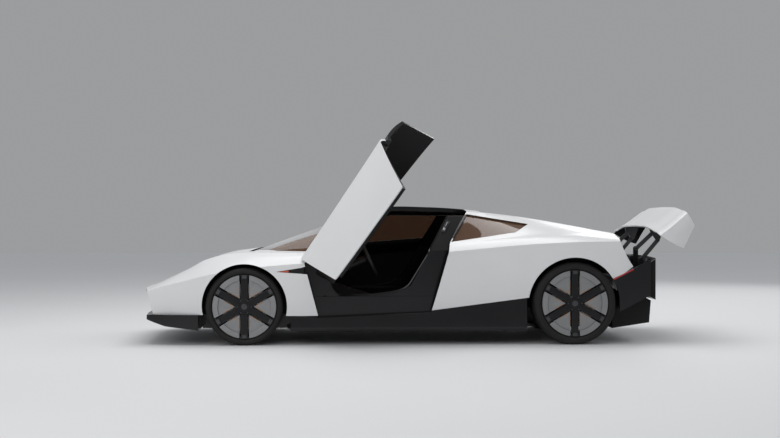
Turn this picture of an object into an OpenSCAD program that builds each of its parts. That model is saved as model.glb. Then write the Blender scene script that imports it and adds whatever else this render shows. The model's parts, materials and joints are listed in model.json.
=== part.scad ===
// Wedge-shaped two-seat concept car: mid engine, dihedral doors that take part of the roof with them,
// and a tail that swings up and back on two pairs of links.
// Frame: +X forward, +Y to the driver's left, +Z up, floor at Z = 0, X = 0 midway between the axles.

/* [Chassis] */
// Distance between the axles
wheelbase = 2760; // [2740:1:2780]
// Height of the flat floor's underside above the ground
ride_height = 112; // [105:1:120]
// Thickness of the floor plate
floor_t = 28; // [22:1:32]
// Radius of the wheel spindles
spindle_r = 25; // [20:1:30]
// Radius of the steering pins
king_r = 14; // [11:1:16]

/* [Front wheels] */
// Outside radius of a front tyre
tyre_f_r = 322; // [316:1:328]
// Width of a front tyre
tyre_f_w = 245; // [235:1:255]
// Radius of the front rim at its outer flange
rim_f_r = 270; // [262:1:276]
// Distance of the front tyre's middle plane from the centre plane
track_f = 800; // [795:1:805]
// Radius of the front wheel arch
arch_f_r = 354; // [348:1:358]

/* [Rear wheels] */
// Outside radius of a rear tyre
tyre_r_r = 345; // [340:1:350]
// Width of a rear tyre
tyre_r_w = 315; // [305:1:325]
// Radius of the rear rim at its outer flange
rim_r_r = 282; // [274:1:288]
// Distance of the rear tyre's middle plane from the centre plane
track_r = 795; // [790:1:800]
// Radius of the rear wheel arch
arch_r_r = 384; // [378:1:390]

/* [Wheel centres] */
// Number of spokes in a wheel
spoke_n = 6; // [5:1:7]
// Width of a spoke
spoke_w = 60; // [50:1:66]
// Gap between a spoke and the aero plates beside it
plate_gap = 9; // [6:1:12]
// Radius of the brake discs
brake_r = 190; // [180:1:200]

/* [Body panels] */
// Wall of the painted clams and door skins
clam_t = 14; // [11:1:16]
// Whole thickness of a door below the belt line
door_t = 58; // [50:1:64]
// Thickness of the door's window frame and roof flap
frame_t = 30; // [26:1:34]
// Thickness of the windscreen's frame
pillar_t = 40; // [34:1:44]
// Thickness of the glass
glass_t = 6; // [4:1:8]
// Gap between neighbouring panels
panel_gap = 6; // [5:1:8]

/* [Doors] */
// Angle at which the left door stands open
door_swing = 67.8; // [30:0.1:67.8]
// Radius of the hinge pins
hinge_r = 9; // [7:1:10]

/* [Tail] */
// Tilt of the raised tail against the lowered one
tail_tilt = 34; // [32:1:34]
// Angle through which the front links swing
link_swing = 120; // [116:1:122]
// Radius of the pins in the links
link_pin_r = 8; // [6:1:9]
// Thickness of a link
link_t = 16; // [12:1:17]
// Width of a link
link_w = 34; // [30:1:36]

/* [Cabin] */
// Radius of the steering wheel
steer_r = 172; // [165:1:180]
// Distance of each seat's middle from the centre plane
seat_y = 330; // [328:1:340]
// Width of a seat
seat_w = 450; // [430:1:456]

/* [Hidden] */
$fn = 64;
front_x = wheelbase / 2;
rear_x = -wheelbase / 2;
// The nose and the tail keep their distance from the axles, and the cabin takes up a change of wheelbase.
// Shift of each end against the drawn wheelbase
drawn_wheelbase = 2760;
front_shift = (wheelbase - drawn_wheelbase) / 2;
rear_shift = -front_shift;
function ahead(points) = [for (p = points) p + [front_shift, 0]];
function behind(points) = [for (p = points) p + [rear_shift, 0]];
floor_z = ride_height + floor_t;
// Clearance where one fixed piece seats on another
seat = 0.3;
// Radial clearance of a pin in its eye
pin_play = 0.3;
// Extra length of cutting tools
over = 50;

// Stations of the outer surface, from the nose to the tail.
// Columns: x, then y and z of the lower edge, the shoulder, the belt (the fender's crest ahead of the cabin)
// and the roof rail (the bonnet's crease ahead of the cabin), and last the z of the centre line.
X = 0;
LOW_Y = 1;
LOW_Z = 2;
CENTRE_Z = 9;
// Height of the splitter's top, on which the nose stands
clam_front_z = 252;
FRONT_STATIONS = [
  [ 2200, 772, clam_front_z, 790, 447, 640, 458, 330,  462,  464],
  [ 2059, 803, clam_front_z, 842, 490, 680, 530, 400,  528,  522],
  [ 1855, 846, clam_front_z, 893, 541, 705, 632, 430,  615,  598],
  [ 1724, 868, clam_front_z, 918, 575, 725, 704, 440,  672,  645],
  [ 1551, 886, 245, 938, 612, 750, 752, 440,  720,  692],
  [ 1380, 893, 245, 947, 640, 768, 769, 600,  762,  735],
  [ 1300, 894, 245, 946, 648, 778, 770, 740,  788,  790],
  [ 1100, 895, 245, 943, 666, 800, 768, 721,  854,  900],
  [  870, 893, 243, 936, 682, 815, 765, 684,  935,  995],
  [  560, 889, 250, 934, 704, 820, 784, 633, 1036, 1085],
  [  190, 887, 265, 934, 734, 825, 810, 574, 1140, 1158]];
CABIN_STATIONS = [
  [ -200, 887, 282, 937, 765, 830, 840, 572, 1134, 1158]];
REAR_STATIONS = [
  [ -502, 890, 322, 944, 794, 832, 868, 566, 1116, 1140],
  [ -990, 903, 386, 962, 838, 820, 912, 480, 1066, 1084],
  [-1378, 925, 430, 976, 858, 790, 925, 410, 1004, 1018],
  [-1763, 915, 570, 938, 864, 760, 895, 350,  936,  940],
  [-1884, 892, 651, 912, 866, 745, 886, 340,  918,  922],
  [-2110, 838, 768, 846, 880, 700, 900, 330,  926,  930]];
function at_x(rows, dx) = [for (r = rows) [for (c = [0:len(r) - 1]) r[c] + (c == X ? dx : 0)]];
STATIONS = concat(at_x(FRONT_STATIONS, front_shift), CABIN_STATIONS, at_x(REAR_STATIONS, rear_shift));

// Cubic interpolation of one column of the table at station x
function row_index(x, i = 0) = i >= len(STATIONS) - 2 || x >= STATIONS[i + 1][X] ? i : row_index(x, i + 1);
function slope(i, c) =
  let (a = STATIONS[max(i - 1, 0)], b = STATIONS[min(i + 1, len(STATIONS) - 1)])
  (b[c] - a[c]) / (b[X] - a[X]);
function at(x, c) =
  let (xc = min(max(x, STATIONS[len(STATIONS) - 1][X]), STATIONS[0][X]), i = row_index(xc),
       a = STATIONS[i], b = STATIONS[i + 1], w = b[X] - a[X], t = (xc - a[X]) / w)
  a[c] * (1 + 2 * t) * pow(1 - t, 2) + slope(i, c) * w * t * pow(1 - t, 2)
  + b[c] * t * t * (3 - 2 * t) - slope(i + 1, c) * w * t * t * (1 - t);

function mix(a, b, t) = a + (b - a) * t;
function unit(v) = v / norm(v);
function steps(n) = [for (i = [0:n]) i / n];
function shifted(line, dx) = [for (p = line) [p[0], p[1] + dx]];

// Outward swell of the surface between its feature lines: side, ledge and side glass, less on short chords
SWELL = [14, 10, 10];
swell_chord = 150;
// A point of the left half's outer surface. k runs over the section: 0 lower edge, 1 shoulder, 2 belt,
// 3 roof rail, 4 centre line.
function skin(x, k) =
  let (j = min(floor(k), 3), t = k - j, c = LOW_Y + 2 * j,
       y0 = at(x, c), z0 = at(x, c + 1),
       y1 = j == 3 ? 0 : at(x, c + 2), z1 = at(x, j == 3 ? CENTRE_Z : c + 3),
       chord = [z1 - z0, y0 - y1], out = unit(chord),
       s = j == 3 ? 0 : SWELL[j] * sin(180 * t) * min(norm(chord) / swell_chord, 1))
  j == 3 ? [x, mix(y0, y1, t), mix(z0, z1, sin(90 * t))]
         : [x, mix(y0, y1, t) + s * out[0], mix(z0, z1, t) + s * out[1]];
// Outward normal of that surface, and the point at a depth below it
function normal(x, k) =
  let (dx = 4, dk = 0.04, u = skin(x - dx, k) - skin(x + dx, k),
       v = k >= 4 ? [0, -1, 0] : skin(x, k + dk) - skin(x, max(k - dk, 0)))
  unit(cross(u, v));
function deep(x, k, d) = skin(x, k) - d * normal(x, k);

// A grid of points below the surface. ks lists the section positions, n is the number of steps from the
// front line to the rear line, which give x for each section position, and d is the depth, or one for each k.
function wall_grid(ks, n, front, rear, d) =
  [for (s = steps(n)) [for (i = [0:len(ks) - 1])
    deep(mix(lookup(ks[i], front), lookup(ks[i], rear), s), ks[i], is_list(d) ? d[i] : d)]];
// A grid of the left half continued over the centre line to the right
function full_width(g) =
  [for (r = g) concat(r, [for (i = [len(r) - 2:-1:0]) [r[i][0], -r[i][1], r[i][2]]])];

// Closed solid between an outer and an inner grid
module slab(outer, inner) {
  n = len(outer);
  m = len(outer[0]);
  off = n * m;
  quads = concat(
    [for (a = [0:n - 2], b = [0:m - 2]) [a * m + b, a * m + b + 1, (a + 1) * m + b + 1, (a + 1) * m + b]],
    [for (a = [0:n - 2], b = [0:m - 2])
      [off + a * m + b, off + (a + 1) * m + b, off + (a + 1) * m + b + 1, off + a * m + b + 1]],
    [for (b = [0:m - 2]) [b, off + b, off + b + 1, b + 1]],
    [for (b = [0:m - 2], r = [(n - 1) * m]) [r + b, r + b + 1, off + r + b + 1, off + r + b]],
    [for (a = [0:n - 2]) [a * m, (a + 1) * m, off + (a + 1) * m, off + a * m]],
    [for (a = [0:n - 2], c = [m - 1]) [a * m + c, off + a * m + c, off + (a + 1) * m + c, (a + 1) * m + c]]);
  polyhedron(concat([for (r = outer) each r], [for (r = inner) each r]),
             [for (q = quads) each [[q[0], q[1], q[2]], [q[0], q[2], q[3]]]]);
}
// Wall below the surface between two depths, on the left side or over the full width
module wall(ks, n, front, rear, d_out, d_in) {
  slab(wall_grid(ks, n, front, rear, d_out), wall_grid(ks, n, front, rear, d_in));
}
module full_wall(ks, n, front, rear, d_out, d_in) {
  slab(full_width(wall_grid(ks, n, front, rear, d_out)), full_width(wall_grid(ks, n, front, rear, d_in)));
}
module both_sides() {
  children();
  mirror([0, 1, 0]) children();
}
// Prism of a side-view outline between y0 and y1, and of a top-view outline of the left half, both sides
module side_prism(points, y0, y1) {
  translate([0, y1, 0]) rotate([90, 0, 0]) linear_extrude(y1 - y0) polygon(points);
}
module plan_prism(points, z0, z1) {
  translate([0, 0, z0]) linear_extrude(z1 - z0)
    polygon(concat(points, [for (i = [len(points) - 1:-1:0], p = [points[i]]) if (p[1] > 0) [p[0], -p[1]]]));
}
// Box between two corners
module block(a, b) { translate(a) cube(b - a); }
// Cylinder across the car, along it, and between two points
module across(x, z, y0, y1, r) { translate([x, y0, z]) rotate([-90, 0, 0]) cylinder(r = r, h = y1 - y0); }
module along(p, r, h) { translate(p) rotate([0, 90, 0]) cylinder(r = r, h = h); }
module rod(a, b, r) {
  d = b - a;
  translate(a) rotate([0, acos(d[2] / norm(d)), atan2(d[1], d[0])]) cylinder(r = r, h = norm(d));
}
// Flat bar with round ends between two side-view points
function stadium(a, b, r) = let (d = atan2(b[1] - a[1], b[0] - a[0]), half = [-90:15:90])
  concat([for (t = half) b + r * [cos(d + t), sin(d + t)]],
         [for (t = half) a - r * [cos(d + t), sin(d + t)]]);
module bar(a, b, y0, y1, w) { side_prism(stadium(a, b, w / 2), y0, y1); }

// Shut lines in the side view as [section position, x]
NOSE = shifted([[0, 2147], [1, 2197], [2, 2222], [3, 2245], [4, 2250]], front_shift);
DOOR_FRONT = shifted([[0, 762], [1, 868], [2, 780], [2.7, 500], [2.9, 185], [3, 179], [4, 179]], front_shift);
DOOR_REAR = shifted([[0, -174], [1, -316], [2, -332], [3, -500], [4, -520]], rear_shift);
TAIL_CUT = shifted([[0, -1884], [1, -1763], [2, -1778], [3, -1805], [4, -1808]], rear_shift);
TAIL_END = shifted([[0, -2080], [1, -2086], [2, -2096], [3, -2110], [4, -2110]], rear_shift);

// Front clam: bonnet, fenders and nose in one painted shell
FRONT_KS = [0, 0.25, 0.5, 0.75, 1, 1.5, 2, 2.08, 2.15, 2.4, 2.6, 2.82, 3.07, 3.5, 4];
FRONT_ROWS = 20;
header_x = 185 + front_shift;
// Rear edge of the clam: along the door, with more room above its shoulder, then under the scuttle
ledge_gap = 8;
CLAM_REAR = concat(
  [for (p = DOOR_FRONT) if (p[0] <= 2) [p[0], p[1] + panel_gap + (p[0] < 1 ? 0 : ledge_gap)]],
  shifted([[2.08, 880], [2.15, 1112], [2.6, 1302], [2.82, 1358], [3.07, 1452], [3.5, 1500], [4, 1510]],
          front_shift));
module front_wall(ks, d_out, d_in) { wall(ks, FRONT_ROWS, NOSE, CLAM_REAR, d_out, d_in); }
module front_arch() { across(front_x, tyre_f_r, 520, 1100, arch_f_r); }
// Scuttle line inside the front clam's edge, where the screen and its pillars end, seen from above
COWL = concat(ahead([[1500, 0], [1490, 250], [1440, 500], [1345, 674], [1290, 729], [1100, 778], [860, 799]]),
              [[0, 799], [0, 0]]);
scuttle_gap = 4;
module within_cowl(play) {
  translate([-play, 0, 0]) plan_prism([for (p = COWL) [p[0], max(p[1] - play, 0)]], 500, 1500);
}
VENT = ahead([[1122, 612], [840, 590], [840, 668], [905, 646]]);
VENT_BACK = ahead([[1125, 609.5], [884, 578], [884, 676], [920, 662], [1125, 628]]);
MARKER = ahead([[1108, 612], [1012, 606], [1012, 624]]);
module front_clam() {
  color("white") difference() {
    full_wall(FRONT_KS, FRONT_ROWS, NOSE, CLAM_REAR, 0, clam_t);
    both_sides() front_arch();
    both_sides() side_prism(VENT, 700, 1000);
  }
}
module fender_vents() {
  color("black") both_sides() intersection() {
    front_wall([0.5, 0.75, 1], clam_t + seat, 2 * clam_t);
    side_prism(VENT_BACK, 700, 1000);
  }
}
module side_markers() {
  color("orange") both_sides() intersection() {
    front_wall([0.5, 0.75, 1], 4, clam_t);
    side_prism(MARKER, 700, 1000);
  }
}

// Nose panel between the clam and the splitter, leaning back towards its foot
NOSE_KS = [1, 1.5, 2, 2.5, 3, 3.5, 4];
NOSE_ROWS = 4;
nose_recess = 6;
nose_lean = 45;
nose_taper = 0.955;
nose_t = 18;
lamp_seat = 0.8;
lamp_t = 4;
function nose_grid(dx) = [for (s = steps(NOSE_ROWS)) [for (c = full_width([[for (k = NOSE_KS)
  deep(lookup(k, NOSE), k, clam_t + seat)]])[0])
  [c[0] - nose_recess - nose_lean * (1 - s) + dx, c[1] * mix(nose_taper, 1, s), mix(clam_front_z, c[2], s)]]];
function part_of(g, r0, r1, c0, c1) = [for (r = [r0:r1]) [for (c = [c0:c1]) g[r][c]]];
module nose_panel() { color("black") slab(nose_grid(0), nose_grid(-nose_t)); }
module head_lamps() {
  color("white") both_sides()
    slab(part_of(nose_grid(lamp_seat + lamp_t), 2, 3, 1, 3), part_of(nose_grid(lamp_seat), 2, 3, 1, 3));
}
// Splitter below the nose, its underside rising to the front
box_x = 1764 + front_shift;
SPLITTER_SIDE = concat([[box_x, 122]], ahead([[2047, 156], [2260, 228], [2260, 240], [2160, clam_front_z]]),
                       [[box_x, clam_front_z]]);
SPLITTER_PLAN = concat([[box_x, 880]], ahead([[2000, 850], [2150, 802], [2205, 765], [2240, 400], [2250, 0]]));
module splitter() {
  color("black") intersection() {
    side_prism(SPLITTER_SIDE, -1000, 1000);
    plan_prism(concat([[box_x, 0]], SPLITTER_PLAN), 0, 400);
  }
}

// Windscreen and its frame: t runs from the scuttle to the header, u from the right pillar to the left one
function screen(t, u) =
  mix([1490 + front_shift - 170 * u * u, 757 * u, 712 + 60 * u * u], [header_x, 574 * u, 1158 - 14 * u * u], t)
  + [0, 0, 18 * 4 * t * (1 - t)];
function screen_deep(t, u, d) =
  let (e = 0.02)
  screen(t, u) - d * unit(cross(screen(t + e, u) - screen(t - e, u), screen(t, u - e) - screen(t, u + e)));
function screen_grid(t0, t1, w, d) =
  [for (s = steps(10)) [for (u = steps(12)) screen_deep(mix(t0, t1, s), mix(w, -w, u), d)]];
glass_u = 0.93;
glass_t0 = 0.03;
glass_t1 = 0.955;
edge_play = 0.0006;
module screen_frame() {
  color("white") intersection() {
    difference() {
      slab(screen_grid(0, 1.02, 1, 0), screen_grid(0, 1.02, 1, pillar_t));
      slab(screen_grid(glass_t0, glass_t1, glass_u, -over),
           screen_grid(glass_t0, glass_t1, glass_u, pillar_t + over));
      block([-1000, -1000, 600], [header_x, 1000, 1500]);
    }
    within_cowl(scuttle_gap);
  }
}
module windscreen() {
  color([0.35, 0.2, 0.1, 0.6])
    slab(screen_grid(glass_t0 + edge_play, glass_t1 - edge_play, glass_u - edge_play, glass_t),
         screen_grid(glass_t0 + edge_play, glass_t1 - edge_play, glass_u - edge_play, 2 * glass_t));
}
// Fixed side glass ahead of the door, bonded under the fender's edge
glass_seat = 1.9;
QUARTER_FRONT = ahead([[1225, 750], [850, 750], [792, 832], [735, 832], [510, 985], [510, 1010], [755, 932],
                       [1000, 856], [1225, 775]]);
module front_quarter_glass() {
  color([0.35, 0.2, 0.1, 0.6]) both_sides() intersection() {
    wall([1.5, 2, 2.25, 2.5, 2.75, 3], 10, shifted([[1, 1300], [4, 1300]], front_shift),
         shifted(DOOR_FRONT, panel_gap),
         clam_t + glass_seat, clam_t + glass_seat + glass_t);
    side_prism(QUARTER_FRONT, 400, 1000);
    within_cowl(glass_seat);
  }
}

// Roof spine between the doors
SPINE_KS = [3.75, 3.875, 4];
spine_t = 40;
module roof_spine() {
  color("black") difference() {
    full_wall(SPINE_KS, 6, [[3, header_x + over], [4, header_x + over]], shifted(DOOR_REAR, seat - panel_gap),
              0, spine_t);
    block([header_x - seat, -1000, 600], [header_x + 3 * over, 1000, 1500]);
  }
}

// Rear clam: flanks, buttresses and rear deck in one painted shell
REAR_KS = [0, 0.25, 0.5, 0.75, 1, 1.5, 2, 2.33, 2.67, 3, 3.5, 4];
REAR_ROWS = 18;
QUARTER_REAR = behind([[-505, 1092], [-1031, 1008], [-905, 938], [-352, 858]]);
QUARTER_BACK = behind([[-498, 1104], [-1058, 1016], [-915, 925], [-340, 846]]);
DECK = behind([[-640, 455], [-1700, 300]]);
// Straight lower edge of the rear flank
function flank_z(x) = 285 - 0.13 * (x - DOOR_REAR[0][1]);
// Tail lamp strip in the side view, and its half height
lamp_x = -1690 + rear_shift;
lamp_end = -2140 + rear_shift;
LAMP_LINE = [[lamp_x, 535], [-1956 + rear_shift, 662], [lamp_end, 726]];
lamp_h = 6;
module rear_arch() { across(rear_x, tyre_r_r, 520, 1100, arch_r_r); }
module rear_clam() {
  color("white") difference() {
    full_wall(REAR_KS, REAR_ROWS, shifted(DOOR_REAR, -panel_gap), TAIL_CUT, 0, clam_t);
    both_sides() rear_arch();
    both_sides() side_prism(QUARTER_REAR, 300, 900);
    plan_prism(DECK, 850, 1300);
    side_prism([for (p = behind([[0, 1], [-1200, 1], [-1200, 0], [0, 0]])) [p[0], p[1] * flank_z(p[0])]],
               -1100, 1100);
    side_prism(concat([for (p = LAMP_LINE) p + [0, lamp_h + seat]], [[lamp_end, 300], [lamp_x, 300]]),
               -1100, 1100);
  }
}
module rear_quarter_glass() {
  color([0.35, 0.2, 0.1, 0.6]) both_sides() intersection() {
    wall([2, 2.33, 2.67, 3], REAR_ROWS, shifted(DOOR_REAR, -panel_gap), TAIL_CUT,
         clam_t + seat, clam_t + seat + glass_t);
    side_prism(QUARTER_BACK, 300, 1000);
  }
}
// Engine cover: louvres between two side rails in the rear deck's opening
louvre_n = 12;
louvre_t = 10;
louvre_l = 96;
cover_drop = 12;
cover_seat = 0.7;
rail_h = 40;
function deck_z(x) = mix(1118, 948, (DECK[0][0] - x) / (DECK[0][0] - DECK[1][0])) - cover_drop;
module engine_cover() {
  color("black") intersection() {
    plan_prism([DECK[0] + [-cover_seat, -cover_seat], DECK[1] + [cover_seat, -cover_seat]], 800, 1300);
    union() {
      difference() {
        side_prism([for (p = behind([[-600, 0], [-1740, 0], [-1740, rail_h], [-600, rail_h]]))
                    [p[0], deck_z(p[0]) - p[1]]], -600, 600);
        plan_prism([DECK[0] + [-30, -30], DECK[1] + [30, -26]], 800, 1300);
      }
      for (i = [0:louvre_n - 1])
        let (x = mix(DECK[0][0] - 40, DECK[1][0] + 40, i / (louvre_n - 1)), z = deck_z(x))
        side_prism([[x + louvre_l / 2, z - 26], [x - louvre_l / 2, z - 4],
                    [x - louvre_l / 2, z - 4 - louvre_t], [x + louvre_l / 2, z - 26 - louvre_t]], -600, 600);
    }
  }
}

// Side skirts between the wheels
skirt_y = 800;
skirt_out = 905;
// Gaps under the door's lower edge, at its front and at its rear
skirt_gap = [14.6, 10.0];
skirt_front = 995 + front_shift;
skirt_rear = -985 + rear_shift;
door_low_x = [DOOR_FRONT[0][1] + 16, DOOR_REAR[0][1] - 3];
SKIRT_SIDE = [[skirt_front, ride_height], [skirt_front, 236], [door_low_x[0] + 7, 236],
              for (i = [0, 1]) [door_low_x[i], at(door_low_x[i], LOW_Z) - skirt_gap[i]],
              [door_low_x[1] - 7, flank_z(door_low_x[1] - 7) - seat], [skirt_rear, flank_z(skirt_rear) - seat],
              [skirt_rear, ride_height]];
SKIRT_SECTION = [[skirt_y, 60], [870, 60], [skirt_out, 128], [skirt_out, 150], [888, 420], [skirt_y, 420]];
module side_skirts() {
  color("black") both_sides() difference() {
    intersection() {
      side_prism(SKIRT_SIDE, skirt_y, 1000);
      translate([skirt_front + over, 0, 0]) rotate([90, 0, -90])
        linear_extrude(skirt_front - skirt_rear + 2 * over)
        polygon([for (p = SKIRT_SECTION) [-p[0], p[1]]]);
    }
    rear_arch();
  }
}

// Rear bumper ring, lamp strip on its top edge, exhaust through its rear wall
BUMPER_PLAN = behind([[-1690, 932], [-1884, 896], [-2040, 860], [-2104, 760], [-2122, 400], [-2124, 0]]);
BUMPER_INNER = behind([[-1690, 902], [-1880, 867], [-2022, 835], [-2076, 745], [-2092, 400], [-2094, 0]]);
rail_end = -1755 + rear_shift;
BUMPER_FOOT = concat(behind([[-2112, 360], [-2020, 398]]), [[rail_end, 268], [lamp_x, 268]]);
EXHAUST = [-1880 + rear_shift, 495];
exhaust_y = 300;
tip_r = 48;
tip_x = EXHAUST[0] - 278;
module bumper_ring(side) {
  difference() {
    intersection() {
      side_prism(side, -1000, 1000);
      plan_prism(concat([[lamp_x, 0]], BUMPER_PLAN), 0, 1000);
    }
    plan_prism(concat([for (y = [0, BUMPER_INNER[0][1]]) [lamp_x + 2 * over, y]], BUMPER_INNER), -over, 1000);
    both_sides() rear_arch();
  }
}
module rear_bumper() {
  color("black") difference() {
    bumper_ring(concat([for (p = LAMP_LINE) p - [0, lamp_h]], [[lamp_end, 600]], BUMPER_FOOT));
    both_sides() along([tip_x - over, exhaust_y, EXHAUST[1]], tip_r + seat, 200);
  }
}
module tail_lamps() {
  color("red") bumper_ring(concat([for (p = LAMP_LINE) p + [0, lamp_h]],
                                  [for (i = [len(LAMP_LINE) - 1:-1:0]) LAMP_LINE[i] - [0, lamp_h]]));
}
module exhaust() {
  color("silver") difference() {
    union() {
      across(EXHAUST[0], EXHAUST[1], -440, 440, 78);
      both_sides() along([tip_x, exhaust_y, EXHAUST[1]], tip_r, EXHAUST[0] - tip_x);
    }
    both_sides() along([tip_x - 1, exhaust_y, EXHAUST[1]], tip_r - 6, 160);
  }
}
// Diffuser under the bumper, with tunnels between its fins
diffuser_y = 640;
tunnel_n = 5;
fin_t = 18;
DIFFUSER = concat([[rail_end, ride_height]], behind([[-2077, 161], [-2092, 350], [-2020, 390]]),
                  [[rail_end, 260]]);
TUNNEL = behind([[-1830, 0], [-1830, 135], [-2030, 330], [-2200, 330], [-2200, 0]]);
module diffuser() {
  color("black") difference() {
    side_prism(DIFFUSER, -diffuser_y, diffuser_y);
    for (i = [0:tunnel_n - 1])
      let (w = 2 * diffuser_y / tunnel_n, y = -diffuser_y + i * w)
      side_prism(TUNNEL, y + fin_t / 2, y + w - fin_t / 2);
    both_sides() rear_arch();
  }
}

// Tub: floor, sills, posts, bulkheads, front box and rear rails
box_y = 480;
rail_y = 440;
FLOOR = [[box_x - seat, box_y], [skirt_front + 45, box_y], [skirt_front - 10, skirt_y], [skirt_rear, skirt_y],
         [skirt_rear - 25, rail_y], [rail_end + seat, rail_y]];
sill_in = 690;
front_wall_x = 990 + front_shift;
rear_wall_x = -510 + rear_shift;
wall_t = 30;
post_y = 790;
BULKHEAD = [[760, 100], [760, 820], [560, 1040], [0, 1060]];
sill_z = 400;
sill_lap = 20;
post_x = front_wall_x - 130;
// Door jambs in the side view: the front one carries the hinge, and both round the opening's lower corners
JAMB_FRONT = concat(ahead([[760, sill_z - sill_lap], [728, sill_z + 2], [690, sill_z + 12], [664, sill_z + 38],
                           [655, sill_z + 78], [668, sill_z + 118], [700, sill_z + 146], [745, sill_z + 162],
                           [786, sill_z + 190], [786, 752], [850, 752]]),
                    [[front_wall_x, 690], [front_wall_x, sill_z - sill_lap]]);
JAMB_REAR = behind([[-410, sill_z - sill_lap], [70, sill_z - sill_lap], [50, sill_z + 6], [24, sill_z + 24],
                    [6, sill_z + 56], [-176, 786], [-410, 786]]);
module cabin_tub() {
  color("black") {
    plan_prism(concat([[FLOOR[0][0], 0]], FLOOR, [[FLOOR[5][0], 0]]), ride_height, floor_z);
    block([front_wall_x, -box_y, ride_height], [box_x - seat, box_y, 540]);
    block([front_wall_x - wall_t, -sill_in, ride_height], [front_wall_x, sill_in, 690]);
    intersection() {
      translate([rear_wall_x - wall_t, 0, 0]) rotate([90, 0, 90]) linear_extrude(wall_t)
        polygon(concat(BULKHEAD, [for (i = [3:-1:0]) [-BULKHEAD[i][0], BULKHEAD[i][1]]]));
      block([rear_wall_x - over, -1000, ride_height], [rear_wall_x + over, 1000, 1500]);
    }
    both_sides() {
      block([rear_wall_x, sill_in, ride_height], [post_x, skirt_y, sill_z]);
      block([post_x, sill_in, ride_height], [front_wall_x, post_y, 690]);
      side_prism(JAMB_FRONT, 738, post_y);
      side_prism(JAMB_REAR, 736, post_y - 4);
      block([rear_wall_x, 700, ride_height], [rear_wall_x + 130, post_y, 800]);
      block([rear_x - 100, rail_y - 40, ride_height], [rear_x + 100, rail_y, 500]);
      rod(hinge_point(boss_s[0]), hinge_point(boss_s[1]), hinge_r + 7);
      rod(hinge_point(eye_s[0] - 4), hinge_point(boss_s[0] + 10), hinge_r);
    }
  }
}

// Wheel-well liners, trimmed to seat under the clams' inner faces. The front ones clear the steered tyres.
liner_t = 6;
liner_seat = 0.8;
liner_gap_f = 22;
liner_gap_r = 2;
FLANK_KS = [0, 0.25, 0.5, 0.75, 1, 1.5, 2];
module liner(x, z, r, y0, z0) {
  ends = r + 2 * over;
  difference() {
    across(x, z, y0, 1000, r + liner_t);
    across(x, z, y0 - 1, 1001, r);
    block([x - 2 * r, y0 - over, z - 2 * r], [x + 2 * r, 1000 + over, z + z0]);
    wall(FLANK_KS, 16, [[0, x + ends], [4, x + ends]], [[0, x - ends], [4, x - ends]],
         -4 * over, clam_t + liner_seat);
  }
}
module wheel_liners() {
  color("black") both_sides() {
    liner(front_x, tyre_f_r, arch_f_r + liner_gap_f, box_y + over, 10);
    difference() {
      liner(rear_x, tyre_r_r, arch_r_r + liner_gap_r, rail_y + 2 * over, 60);
      block([lamp_x - 4 * over, 0, 0], [lamp_x + liner_t, 1100, 1000]);
    }
  }
}

// Dihedral door hinge: a point on its axis, the axis' direction, and a place along it
HINGE = [819 + front_shift, 800, 743];
HINGE_AXIS = [0.58, 0.661, -0.476];
function hinge_point(s) = HINGE + s * HINGE_AXIS;
boss_s = [-60, -18];
eye_s = [-104, -62];
ARM_END = [690 + front_shift, 790, 742];
DOOR_KS = [0, 0.33, 0.67, 1, 1.5, 2, 2.2, 2.45, 2.7, 2.9, 3, 3.37, 3.74];
DOOR_ROWS = 10;
SKIN_KS = [0, 0.33, 0.67, 1, 1.5, 2];
skin_bevel = 9;
flap_bevel = 26;
WINDOW = concat(ahead([[672, 804], [478, 945], [180, 1068], [110, 1086]]), behind([[-438, 1082], [-300, 878]]));
window_share = 0.0016;
module door_at(angle) { translate(HINGE) rotate(a = angle, v = HINGE_AXIS) translate(-HINGE) children(); }
module left_door() { door_at(door_swing) children(); }
module right_door() { mirror([0, 1, 0]) children(); }
module door_skin() {
  color("white") slab(
    wall_grid(SKIN_KS, DOOR_ROWS, DOOR_FRONT, DOOR_REAR, 0),
    wall_grid(SKIN_KS, DOOR_ROWS, shifted(DOOR_FRONT, -skin_bevel), shifted(DOOR_REAR, skin_bevel), clam_t));
}
// Depths of the frame's outer and inner face: behind the painted skin below the belt, flush above it
frame_out = [for (k = DOOR_KS) k > 2.1 ? 0 : clam_t + seat];
frame_in = [for (k = DOOR_KS) k > 2.1 ? frame_t : door_t];
function flap_line(line, dx) = [for (p = line) [p[0], p[1] + (p[0] >= 2.9 ? dx : 0)]];
FRAME_FRONT = shifted(DOOR_FRONT, -skin_bevel / 2);
FRAME_REAR = shifted(DOOR_REAR, skin_bevel / 2);
FRAME_FRONT_CUT = ahead([[717, 200], [800, 672], [722, 752], [745, 790], [1000, 790], [1000, 200]]);
FRAME_REAR_CUT = behind([[-144, 200], [-286, 776], [-302, 846], [-450, 850], [-450, 200]]);
module door_frame() {
  color("black") difference() {
    union() {
      difference() {
        slab(wall_grid(DOOR_KS, DOOR_ROWS, FRAME_FRONT, FRAME_REAR, frame_out),
             wall_grid(DOOR_KS, DOOR_ROWS, flap_line(FRAME_FRONT, -flap_bevel), FRAME_REAR, frame_in));
        side_prism(WINDOW, 300, 1000);
        side_prism(FRAME_FRONT_CUT, 600, 1100);
        side_prism(FRAME_REAR_CUT, 600, 1100);
      }
      rod(hinge_point(eye_s[0]), hinge_point(eye_s[1]), hinge_r + 9);
      rod(hinge_point((eye_s[0] + eye_s[1]) / 2), ARM_END, 13);
    }
    rod(hinge_point(eye_s[0] - 10), hinge_point(eye_s[1] + 10), hinge_r + pin_play);
  }
}
function centre_of(points) =
  [for (c = [0, 1]) let (v = [for (p = points) p[c]]) (max(v) + min(v)) / 2];
function shrunk(points, share) = let (c = centre_of(points)) [for (p = points) mix(p, c, share)];
GLASS_KS = [2, 2.2, 2.45, 2.7, 2.9, 3];
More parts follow.
